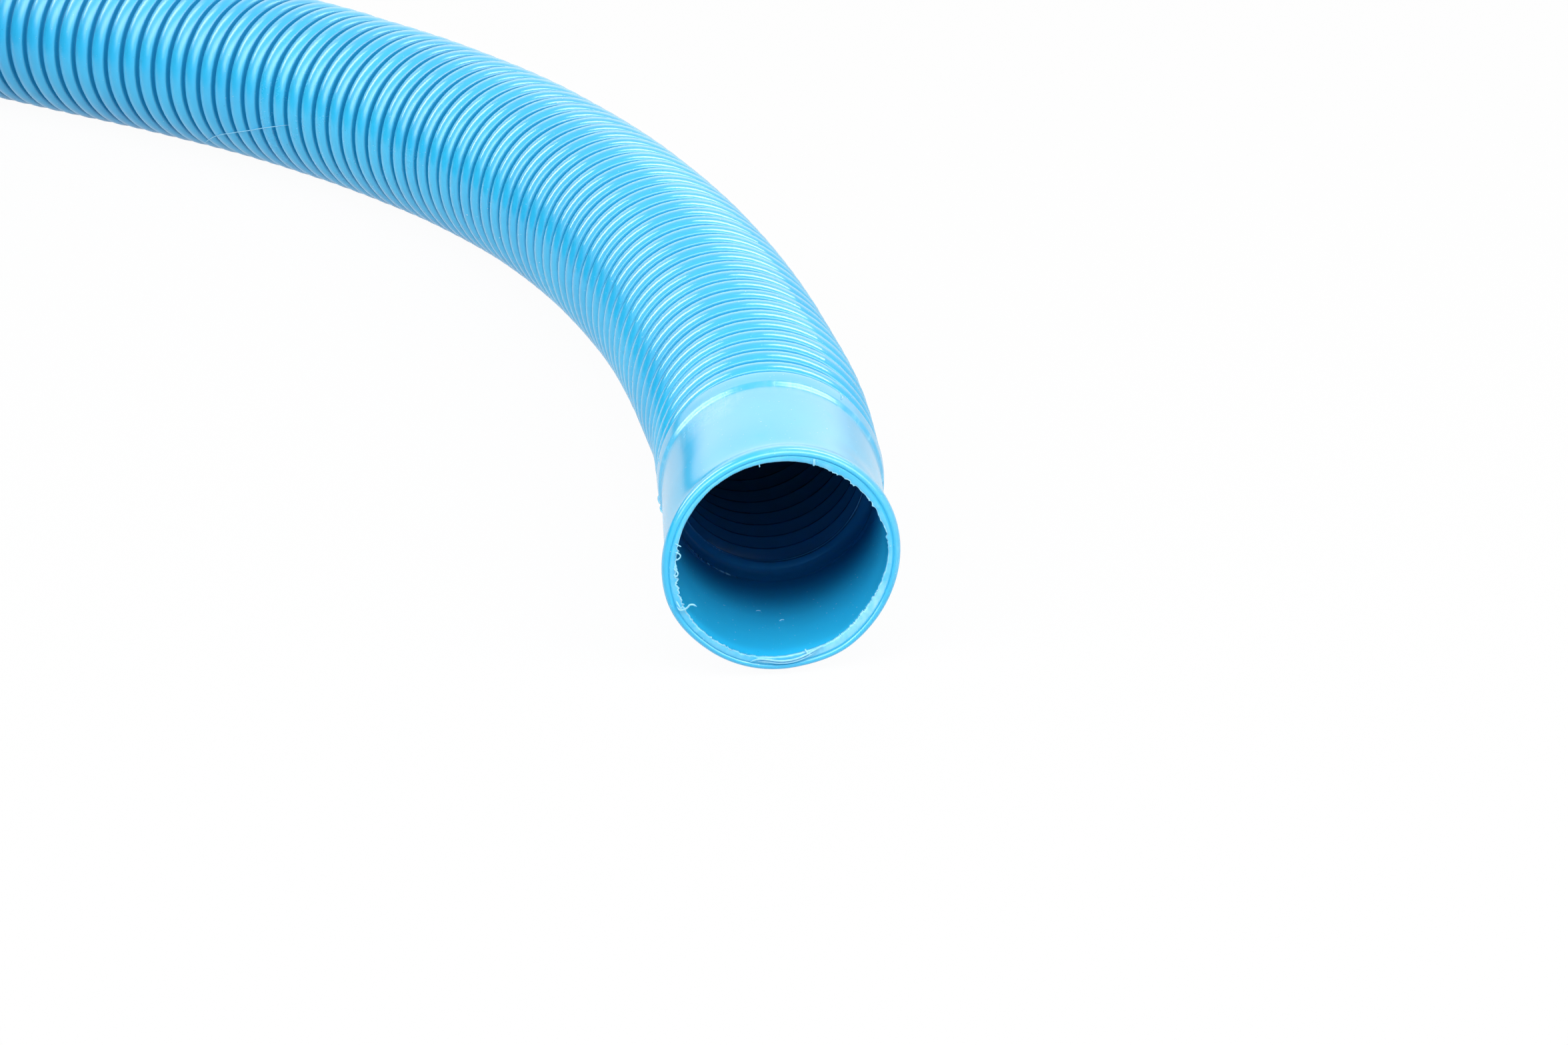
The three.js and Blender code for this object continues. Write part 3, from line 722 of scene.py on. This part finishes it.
def cuff_outside():
    """The cuff's wall from the bead to the ribs' first groove, as [from the mouth, radius]."""
    neck = [(s * MM, NECK_R) for s in NECK_PLACES]
    steps = np.linspace(0, 1, 9)
    rise = [(COLLAR_START + t * COLLAR_RISE, NECK_R + COLLAR_STEP * float(smooth(t))) for t in steps]
    crest = [(s * MM, HOSE_R - drop * MM) for s, drop in COLLAR_CREST]
    return [(s * MM, r * MM) for s, r in BEAD] + neck + rise + crest


def cuff_inside():
    """The cuff's wall from the ribs' first groove through the bore to behind the lip."""
    foot = HOSE_R - RIB_DEPTH - HOSE_WALL
    collar = [(s * MM, foot + rise * MM) for s, rise in COLLAR_INSIDE]
    back = [(s * MM, CUFF_BORE_R + rise * MM) for s, rise in BORE_BACK]
    bore = [(s * MM, CUFF_BORE_R) for s in BORE_PLACES]
    return collar + back + bore + [(s * MM, r * MM) for s, r in BORE_FRONT]


def cuff_wear_and_sheen(along, angles):
    """How torn or scuffed each point of the cuff is, on the lip and the collar, with a painted sheen on the
    bead's top and painted glints on two ridges inside.
    """
    turn = np.degrees(angles)
    wear = np.zeros(along.shape)
    wear[EDGE_ROWS] = 0.9 - 0.45 * between(turn, 212, 264)
    wear[FLAT_ROWS] = 0.12 + 0.6 * between(turn, 275, 352, 20, 15) + 0.3 * jagged(angles, 6, 9)
    outside = len(cuff_outside())
    left = between(turn, 102, 152)
    place = along[:outside] / MM
    slope = between(place, 28 - 6 * left, 32.2, 3, 1.2)
    wear[:outside] = slope * (0.1 + 0.6 * jagged(angles, 3, 12) + 0.4 * left * jagged(angles, 0.8, 13))
    # Painted sheen: the bead is made paler on its top and right side.
    wear[BEAD_TOP_ROWS] += 0.2 * (between(turn, -20, 105) + between(turn, 340, 465))
    # Painted glints: dotted pale arcs on two ridges in the bore.
    for row in PAINTED_GLINT_ROWS:
        wear[outside + row] = 3.0 * jagged(angles, 0.7, 14 + row) * between(turn, 214 - row, 246 + row)
    return wear


def near_cuff():
    angles = cuff_angles()
    walls = np.array(cuff_outside() + cuff_inside())
    along = np.repeat(walls[:, :1], len(angles), axis=1)
    radius = walls[:, 1:] + unevenness(walls[:, 0], angles, 5) * CUFF_SWELL
    edge = cut_edge(angles)
    for place, out, share in LIP_ROWS:
        row = LIP_GROOVE_R + (edge - LIP_GROOVE_R) * share + out * MM
        wavy = LIP_WAVE * share * (jagged(angles, 2.5, 8) - 0.3)
        along = np.concatenate([along, np.full((1, len(angles)), place * MM) + wavy])
        radius = np.concatenate([radius, row[None]])
    points = on_cuff(along, radius, angles[None])
    cuff = add_rings("near_cuff", points, along[:, 0], hose_plastic)
    mark(cuff, "wear_and_sheen", cuff_wear_and_sheen(along, angles))
    # Painted shade: the cuff's bore is marked darker the deeper it goes.
    depth = smooth((along[:, 0] - BORE_DARKENS_AT) / BORE_DARKENS_OVER)
    depth[:len(cuff_outside())] = 0
    mark(cuff, "inside", depth)
    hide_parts("fixed_cuff")


near_cuff()

# ---- What the knife and the mould left on the cuff ----
THREAD_SIDES = 8
THREAD_STEP = 0.08 * MM
THREAD_CURVE_STEP = 4
OFF_AXIS = (0.31, 0.17, 0.93)  # a direction that no thread runs in
FRINGE_STEP = 0.3  # degrees
FRINGE_ROOT = 0.12 * MM
FRINGE_THICKNESS = 0.09 * MM
FRINGE_FOOT, FRINGE_TIP = 0.25 * MM, 0.3 * MM


class Scraps:
    """Threads and thin fringes of torn plastic, gathered in one mesh."""

    def __init__(self):
        self.points, self.faces, self.count = [], [], 0

    def rings(self, rings):
        """A skin over open rings that narrow to a point at both ends."""
        rows, columns = rings.shape[:2]
        faces, _, _ = ring_faces(rows, columns, False)
        self.points.append(rings.reshape(-1, 3))
        self.faces.append(faces + self.count)
        self.count += rows * columns

    def thread(self, points, thickness):
        """A round thread through a few points, thin at its ends."""
        line = Route(spline(np.asarray(points, dtype=float))[::THREAD_CURVE_STEP])
        at = np.linspace(0, line.length, max(THREAD_SIDES, int(line.length / THREAD_STEP)))
        taper = np.clip(np.sin(np.linspace(0.02, math.pi - 0.02, len(at))) * 2.5, 0.02, 1)
        angles = np.arange(THREAD_SIDES) * 2 * math.pi / THREAD_SIDES
        heading = line.heading(at, reach=line.length / 20)
        self.rings(circles(line.at(at), heading, OFF_AXIS, (thickness / 2 * taper)[:, None], angles))

    def fringe(self, first, last, height, lean, seed):
        """A ragged thin fringe on the lip's cut edge, leaning out of the mouth, between two angles."""
        angles = np.radians(np.arange(first, last, FRINGE_STEP))
        ends = np.clip(np.minimum(np.degrees(angles) - first, last - np.degrees(angles)) / 3, 0.02, 1)
        tall = height * ends * (0.15 + 1.5 * jagged(angles, 1.3, seed) + 0.5 * jagged(angles, 5, seed + 1))
        root = cut_edge(angles) + FRINGE_ROOT
        thick = FRINGE_THICKNESS * ends
        curl = lean * tall * (0.4 + jagged(angles, 4, seed + 2))
        foot, tip = FRINGE_FOOT, FRINGE_TIP - curl
        rows = ((foot - thick, root), (tip - thick, root - tall), (tip, root - tall), (foot + thick, root))
        self.rings(np.stack([on_cuff(along, radius, angles) for along, radius in rows], axis=1))

    def piece(self, name):
        add_piece(name, np.concatenate(self.points), np.concatenate(self.faces), torn_plastic)


def at_opening(right, up, out):
    """A point before the mouth, in millimetres from the middle of its plane."""
    back = float(mouth_move(0.0, np.array(math.atan2(up, right)))[0])
    return at_mouth(right, -out, HOSE_R / MM + up) + [0, back, 0]


def at_lip(along, radius, angle):
    """A point of the lip or before it, from millimetres and degrees."""
    return on_cuff(along * MM, radius * MM, math.radians(angle))


def at_skin(along, angle, lift=0.0, radius=None):
    """A point on the cuff's skin, or at a radius from its axis, from millimetres and degrees."""
    if radius is None:
        skin = np.array(cuff_outside()[len(BEAD):])
        radius = float(np.interp(along * MM, skin[:, 0], skin[:, 1]))
    return on_cuff(along * MM, radius + lift * MM, math.radians(angle))


# Fringes of the cut edge: first and last degree, height and lean, and the seed of their teeth.
FRINGES = (
    (163, 214, 0.34 * MM, 0.9, 21), (217, 255, 0.2 * MM, 0.7, 31), (8, 68, 0.14 * MM, 0.5, 41),
    (326, 344, 0.22 * MM, 0.6, 51),
)
# Threads in the mouth: thickness, then right, up and out. A long curl at the lower left, loops above it.
MOUTH_THREADS = (
    (0.3, (-16.4, -5.9, 0), (-15.9, -6.35, 0.35), (-15.3, -6.15, 0.7), (-14.7, -5.7, 0.9),
     (-14.35, -5.25, 1.0), (-13.8, -5.2, 1.0), (-13.2, -5.6, 0.9)),
    (0.24, (-16.5, -4.9, 0), (-16.1, -5.5, 0.4), (-15.75, -6.05, 0.5), (-15.35, -5.5, 0.6)),
    (0.22, (-16.6, 3.2, 0), (-16.1, 3.15, 0.3), (-15.75, 2.9, 0.5), (-15.75, 2.55, 0.5), (-16.1, 2.2, 0.5),
     (-16.4, 2.0, 0.3), (-16.7, 1.6, 0)),
    (0.2, (-16.5, 4.6, 0), (-16.0, 4.4, 0.3), (-15.55, 4.2, 0.4)),
    (0.26, (-16.9, 0.5, 0), (-16.4, 0.3, 0.4), (-16.15, -0.2, 0.5), (-16.4, -0.6, 0.5), (-16.9, -0.4, 0.3)),
)
# The flash that is folded over at the bottom of the lip: degrees and radius.
FOLD = ((252, 17.45), (256, 16.75), (262, 16.7), (268, 16.95), (275, 17.05), (282, 16.85), (290, 16.3),
        (297, 16.0))
# Threads of the lip: thickness, then along, radius and angle. The tab at the top, the whisker left of it,
# a spike at the bottom, and the fold's two edges.
LIP_THREADS = (
    (0.4, (0.1, 17.75, 73), (-0.1, 17.3, 72.5), (0, 16.9, 72), (0.2, 16.5, 72)),
    (0.2, (0.3, 17.2, 102), (0.4, 16.5, 102)),
    (0.3, (0.1, 17.2, 287), (-0.2, 16.5, 285), (0.3, 15.9, 284)),
    (0.34, *((-0.25, radius, angle) for angle, radius in FOLD)),
    (0.26, *((-0.12, radius + 0.45, angle) for angle, radius in FOLD[1:-1])),
)
# Threads on the skin: thickness, then along, angle and lift. Marks of the mould's halves on the collar.
SKIN_THREADS = (
    (0.22, (35.4, 52, 0.03), (33.5, 51.3, 0.05), (32.4, 51.8, 0.03)),
    (0.2, (35.6, 167, 0.03), (34.4, 168, 0.05), (33.0, 168, 0.02)),
)
BURRS = ((33.8, 187, 1.6), (32.6, 191, 2.0), (31.6, 196, 1.5), (31.0, 200, 1.2))
BURR_THICKNESS = 0.36
CRUMBS = ((15, 273.5, 0.18), (18.5, 261, 0.12))
# A fine fibre that lies across the crests of a few ribs: [mm past the cuff, degrees round the hose].
FIBRE_ROUTE = (
    (280.5, 235), (278.8, 230.5), (273.2, 218.5), (269.0, 212.0), (264.4, 207.0), (259.8, 202.3),
    (255.6, 198.3), (251.6, 194.3), (247.4, 190.5), (242.8, 186.5), (239.5, 184),
)
FIBRE_LIFT = 0.09 * MM
FIBRE_THICKNESS = 0.17 * MM

scraps = Scraps()
for fringe in FRINGES:
    scraps.fringe(*fringe)
for place, threads in ((at_opening, MOUTH_THREADS), (at_lip, LIP_THREADS), (at_skin, SKIN_THREADS)):
    for thickness, *points in threads:
        scraps.thread([place(*point) for point in points], thickness * MM)
# Burrs on the left of the collar, and two crumbs in the bore.
for along, angle, length in BURRS:
    places = ((0, 0, -0.1), (-0.3 * length, 2, 0.06), (-length, 3, -0.08))
    scraps.thread([at_skin(along + a, angle + b, lift) for a, b, lift in places], BURR_THICKNESS * MM)
for along, angle, size in CRUMBS:
    places = ((-size, -1.3, 0.05), (0, 0, -size * 0.4), (size, 1.5, 0.05))
    scraps.thread([at_skin(along + a, angle + b, lift, CUFF_BORE_R) for a, b, lift in places], size * MM)
scraps.piece("cuff_burrs")

fibre = Scraps()
fibre_radius = np.array([[HOSE_R + FIBRE_LIFT]])
fibre.thread([rings_along(np.array([along * MM]), fibre_radius, np.radians([angle]))[0, 0]
              for along, angle in FIBRE_ROUTE], FIBRE_THICKNESS)
fibre.piece("loose_fibre")

# ---- Swivel ----
hub_low, hub_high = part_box("swivel_hub")
SWIVEL_AT = np.array([hub_low[0], (hub_low[1] + hub_high[1]) / 2, (hub_low[2] + hub_high[2]) / 2])
HUB_COLLAR = 14 * MM
SPIGOT_R = 17.9 * MM
SPIGOT_END = 38 * MM
HUB_BORE_R = 15.6 * MM
SNAP_R = 18.6 * MM
SNAP_START = SPIGOT_END - 4 * MM
SNAP_TOP = SPIGOT_END - 1.5 * MM
SLEEVE_START = 16.2 * MM
SLEEVE_END = SLEEVE_START + 25.5 * MM
SOCKET_START = 40.3 * MM
SOCKET_BORE_R = 16.75 * MM
SOCKET_R = 19.7 * MM
SOCKET_BEAD_R = 20.6 * MM
SWIVEL_END = SOCKET_START + 34 * MM
SOCKET_TAPER = 5 * MM
SOCKET_BEAD = (4 * MM, 3.1 * MM, 0.9 * MM)  # from the end to where the bead starts, is full, and falls
GRIP_FLUTES = 30
FLUTE_DEPTH = 0.55 * MM
FLUTE_MARGIN = 3 * MM
FLUTE_FADE = 2 * MM
SEAL_START = HUB_COLLAR + GAP
SEAL_END = SEAL_START + 1.6 * MM
SEAL_R = SWIVEL_R - 0.4 * MM
EDGE_ROUND = 0.7 * MM
SEAL_ROUND = 0.4 * MM
SLEEVE_STEP = 1.0 * MM
SHARP_ANGLE = 35


def rounded(outline, radius, steps=4):
    """An outline of [along, radius] points with each corner rounded."""
    points = np.array(outline)
    result = []
    for before, corner, after in zip(np.roll(points, 1, 0), points, np.roll(points, -1, 0)):
        back, ahead = before - corner, after - corner
        size = min(radius, 0.45 * np.linalg.norm(back), 0.45 * np.linalg.norm(ahead))
        a = corner + back / np.linalg.norm(back) * size
        b = corner + ahead / np.linalg.norm(ahead) * size
        for t in np.linspace(0, 1, steps):
            result.append((1 - t) ** 2 * a + 2 * t * (1 - t) * corner + t**2 * b)
    return np.array(result)


def turned_piece(name, profile, sides, material, body="hose", shaped=None):
    """A piece turned about the swivel's axis. shaped(along, radius, angle) may change the radius."""
    angles = np.arange(sides) * 2 * math.pi / sides
    along = np.repeat(profile[:, :1], sides, axis=1)
    radius = np.repeat(profile[:, 1:], sides, axis=1)
    if shaped is not None:
        radius = shaped(along, radius, angles[None])
    points = SWIVEL_AT + np.stack([along, radius * np.cos(angles), radius * np.sin(angles)], axis=-1)
    return add_rings(name, points, profile[:, 0], material, body, SHARP_ANGLE)


def fluted(along, radius, angle):
    """Shallow finger flutes along the sleeve, which fade out at its ends."""
    share = between(along, SLEEVE_START + FLUTE_MARGIN, SLEEVE_END - FLUTE_MARGIN, FLUTE_FADE)
    outside = radius > SWIVEL_R - EDGE_ROUND
    wave = 0.5 - 0.5 * np.cos(GRIP_FLUTES * angle)
    return radius - FLUTE_DEPTH * share * outside * wave**2


def dense(profile, step):
    """A closed profile with more points along its straight parts."""
    result = []
    for a, b in zip(profile, np.roll(profile, -1, 0)):
        count = max(1, int(np.linalg.norm(b - a) / step))
        result.extend(a + (b - a) * k / count for k in range(count))
    return np.array(result)


hub = turned_piece("swivel_collar", rounded([
    (0, HUB_BORE_R), (0, SWIVEL_R), (HUB_COLLAR, SWIVEL_R), (HUB_COLLAR, SPIGOT_R), (SNAP_START, SPIGOT_R),
    (SNAP_START, SNAP_R), (SNAP_TOP, SNAP_R), (SPIGOT_END, SPIGOT_R), (SPIGOT_END, HUB_BORE_R),
], EDGE_ROUND), 128, swivel_plastic)
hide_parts("swivel_hub")

bead_start, bead_full, bead_fall = (SWIVEL_END - distance for distance in SOCKET_BEAD)
sleeve = turned_piece("swivel_sleeve", dense(rounded([
    (SLEEVE_START, SPIGOT_R + GAP), (SLEEVE_START, SWIVEL_R), (SLEEVE_END, SWIVEL_R),
    (SLEEVE_END + SOCKET_TAPER, SOCKET_R), (bead_start, SOCKET_R), (bead_full, SOCKET_BEAD_R),
    (bead_fall, SOCKET_BEAD_R), (SWIVEL_END, SOCKET_R), (SWIVEL_END, SOCKET_BORE_R),
    (SOCKET_START, SOCKET_BORE_R), (SOCKET_START, HUB_BORE_R), (SPIGOT_END + GAP, HUB_BORE_R),
    (SPIGOT_END + GAP, SNAP_R + GAP), (SNAP_START - GAP, SNAP_R + GAP), (SNAP_START - GAP, SPIGOT_R + GAP),
], EDGE_ROUND), SLEEVE_STEP), 240, swivel_plastic, "swivel", fluted)
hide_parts("swivel_cuff")

washer = turned_piece("swivel_seal", rounded([
    (SEAL_START, SPIGOT_R + GAP), (SEAL_START, SEAL_R), (SEAL_END, SEAL_R), (SEAL_END, SPIGOT_R + GAP),
], SEAL_ROUND), 96, rubber)
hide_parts("swivel_washer")

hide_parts("hose_coil")
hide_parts("hose_tail")

# ---- Storage ties ----
TIE_ARC_STEP = math.pi / 40
TAPE_STEP = 1.5 * MM
TAPE_ROUND = 0.6 * MM
KEEPER_ROUND = 0.45 * MM
inner_turn_radius = float(coil_radius(LAYER_TURNS))
curve_in = math.tan(math.pi / STEPS_PER_TURN) + radial_rate / inner_turn_radius
tie_slack = curve_in * TIE_WIDTH / 2 + GAP


def crossings(step):
    """Where the hose crosses a tie, as complex numbers: radius and height of its centre."""
    found = []
    turn = step / STEPS_PER_TURN
    while turn <= coil_turns:
        place = complex(float(coil_radius(turn)), float(coil_point(turn)[2]))
        found += [place, place - tie_slack]
        turn += 1
    return found


def convex_outline(points):
    """The convex outline of a few complex points, anticlockwise."""
    ordered = sorted(points, key=lambda p: (p.real, p.imag))

    def half(chain_points):
        chain = []
        for point in chain_points:
            while len(chain) > 1 and ((chain[-1] - chain[-2]).conjugate() * (point - chain[-2])).imag <= 0:
                chain.pop()
            chain.append(point)
        return chain[:-1]

    return half(ordered) + half(ordered[::-1])


def loop_round(outline, distance):
    """The points of a taut loop at a distance round an outline's corners."""
    edges = [(b, np.angle((b - a) * -1j)) for a, b in zip(outline, outline[1:] + outline[:1])]
    points = []
    for (corner, facing), (_, following) in zip(edges, edges[1:] + edges[:1]):
        sweep = (following - facing) % (2 * math.pi)
        count = max(1, math.ceil(sweep / TIE_ARC_STEP))
        points += [corner + distance * np.exp(1j * (facing + sweep * k / count)) for k in range(count + 1)]
    return np.array(points)


def spaced_loop(points, step):
    """The same closed line with points at an even distance."""
    closed = np.append(points, points[:1])
    distances = np.append(0, np.cumsum(np.abs(np.diff(closed))))
    at = np.linspace(0, distances[-1], int(distances[-1] / step), endpoint=False)
    return np.interp(at, distances, closed.real) + 1j * np.interp(at, distances, closed.imag), at


def at_coil_step(points, across, step):
    """Complex [outward, up] points, with offsets along the hose, placed at a step of the coil."""
    angle = start_angle + 2 * math.pi * step / STEPS_PER_TURN
    points, across = np.broadcast_arrays(points, across)
    x = coil_centre[0] + points.real * math.cos(angle) - across * math.sin(angle)
    y = coil_centre[1] + points.real * math.sin(angle) + across * math.cos(angle)
    return np.stack([x, y, points.imag], axis=-1)


SQUARE = ((-0.5, -0.5), (0.5, -0.5), (0.5, 0.5), (-0.5, 0.5))
TAPE_SECTION = rounded([(x * TIE_WIDTH, y * TIE_THICKNESS) for x, y in SQUARE], TAPE_ROUND)


def tie_strap(number, step):
    """A tape round all the turns of the coil, at one of its steps."""
    middle = HOSE_R + GAP + TIE_THICKNESS / 2
    line, along = spaced_loop(loop_round(convex_outline(crossings(step)), middle), TAPE_STEP)
    ahead = np.roll(line, -1) - np.roll(line, 1)
    outward = ahead / np.abs(ahead) * -1j
    section = line[:, None] + outward[:, None] * TAPE_SECTION[:, 1][None]
    rings = at_coil_step(section, TAPE_SECTION[:, 0][None], step)
    distances = np.arange(len(line) + 1) * (along[1] - along[0])
    strap = add_rings(f"tie_band_{number}", rings, distances, tape)
    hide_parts(f"tie_strap_{number}")


SAME_POINT = 0.001 * MM
FLAT_ANGLE, CREASE_ANGLE = math.radians(2), math.radians(40)


def tie_keeper(number):
    """A copy of a keeper's plain solid with its edges rounded."""
    name, node = f"tie_ring_{number}", f"tie_keeper_{number}"
    mesh = frame["nodes"][node].data.copy()
    mesh.name = name
    shape = bmesh.new()
    shape.from_mesh(mesh)
    bmesh.ops.remove_doubles(shape, verts=shape.verts, dist=SAME_POINT)
    bmesh.ops.dissolve_limit(shape, angle_limit=FLAT_ANGLE, verts=shape.verts, edges=shape.edges)
    bmesh.ops.bevel(shape, geom=shape.edges[:], offset=KEEPER_ROUND, segments=3, profile=0.5, affect="EDGES",
                    clamp_overlap=True)
    shape.to_mesh(mesh)
    shape.free()
    mesh.materials.clear()
    mesh.materials.append(nylon)
    mesh.shade_smooth()
    mesh.set_sharp_from_angle(angle=CREASE_ANGLE)
    piece = new_object(name, mesh)
    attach(piece, "hose")
    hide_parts(node)


for number in range(1, TIE_COUNT + 1):
    tie_strap(number, FIRST_TIE_STEP + round((number - 1) * STEPS_PER_TURN / TIE_COUNT))
    tie_keeper(number)

# ---- Floor, backdrop and light ----
WHITE = colour(1, 1, 1)
FLOOR_PALE = colour(0.78, 0.78, 0.78)
FLOOR_SIZE = 6.0
FLOOR_DROP = 0.2 * MM
SHADOW_HIDDEN = 0.96
AMBIENT_FROM, AMBIENT_TO = 0.35, 0.9
AMBIENT_LOW, AMBIENT_HIGH = 0.12, 0.28
LAMP_TARGET = at_mouth(-20, 80, 20)
# Each lamp's facts, in the order in which softbox takes them.
LAMPS = (
    ("shine_left", (-0.69, 0.485, 0.54), 1.3, (0.27, 1.2), 7.3, (0.55, -0.1, 0.83), True),
    ("shine_right", (0.44, 0.453, 0.775), 1.3, (0.26, 1.05), 6.9, (-0.85, 0, 0.53), True),
    ("lamp_key", (0.0, -0.58, 0.815), 1.4, (2.0, 0.8), 18.5, UP, False),
    ("fill_left", (-0.74, -0.43, 0.52), 1.4, (0.8, 0.8), 6.6, UP, False),
    ("fill_right", (0.74, -0.43, 0.52), 1.4, (0.8, 0.8), 7.2, UP, False),
    ("back_wide", (0.03, 0.95, 0.335), 1.6, (1.3, 2.7), 4.0, (1, 0, 0), False),
    ("back_narrow", (0.03, 0.95, 0.335), 1.62, (0.8, 1.7), 2.3, (1, 0, 0), False),
)


def seen_rays(nodes):
    """1 for what the camera sees, also in reflections and through clear things, and 0 for the rest."""
    rays = nodes.add("LightPath")
    seen = rays.outputs["Is Camera Ray"]
    for name in ("Is Glossy Ray", "Is Transmission Ray"):
        seen = nodes.math("MAXIMUM", seen, rays.outputs[name])
    return seen


def seen_white(name, base):
    """A pale surface that looks white to the camera and in reflections, and keeps most of a shadow off."""
    material, nodes = new_material(name)
    nodes.fill(nodes.shader, Base_Color=base, Roughness=0.9, Specular_IOR_Level=0.0)
    white = nodes.add("Emission", Color=WHITE, Strength=1.0).outputs[0]
    lit = nodes.shader.outputs[0]
    hidden = nodes.in_order("MixShader", SHADOW_HIDDEN, lit, white)
    chosen = nodes.in_order("MixShader", seen_rays(nodes), lit, hidden)
    nodes.fill(nodes.tree.nodes["Material Output"], Surface=chosen)
    return material


def floor():
    mesh = bpy.data.meshes.new("floor")
    mesh.from_pydata([(x * FLOOR_SIZE, y * FLOOR_SIZE, 0) for x, y in SQUARE], [], [(0, 1, 2, 3)])
    mesh.materials.append(seen_white("floor_white", FLOOR_PALE))
    plane = new_object("floor", mesh)
    plane.location = (0, 0, -FLOOR_DROP)


def world():
    """White to the camera and in reflections. The light that it gives comes mostly from above."""
    scene_world = bpy.data.worlds.new("studio")
    bpy.context.scene.world = scene_world
    scene_world.use_nodes = True
    nodes = Nodes(scene_world.node_tree)
    place = nodes.add("TexCoord").outputs["Generated"]
    height = nodes.add("SeparateXYZ", Vector=place).outputs["Z"]
    light = nodes.ramp(height, AMBIENT_FROM, AMBIENT_TO, AMBIENT_LOW, AMBIENT_HIGH, kind="LINEAR")
    strength = nodes.ramp(seen_rays(nodes), 0, 1, light, 1, kind="LINEAR")
    nodes.fill(nodes.tree.nodes["Background"], Strength=strength, Color=WHITE)


def softbox(name, direction, distance, sides, power, long_side, shine_only):
    """A soft lamp that looks at the cuff from a direction. Its second side lies along long_side.

    A lamp that is there for its shine only is seen in reflections and lights nothing else.
    """
    data = bpy.data.lights.new(name, "AREA")
    data.shape = "ELLIPSE" if shine_only else "RECTANGLE"
    data.size, data.size_y = sides
    data.energy = power
    lamp = new_object(name, data)
    way = Vector(direction).normalized()
    side = Vector(long_side)
    side = (side - way * side.dot(way)).normalized()
    turned = Matrix((side.cross(way), side, way)).transposed()
    lamp.matrix_world = Matrix.Translation(Vector(LAMP_TARGET) + way * distance) @ turned.to_4x4()
    lamp.visible_camera = False
    lamp.visible_diffuse = not shine_only


floor()
world()
for lamp_facts in LAMPS:
    softbox(*lamp_facts)
bpy.context.scene.view_settings.view_transform = "Standard"
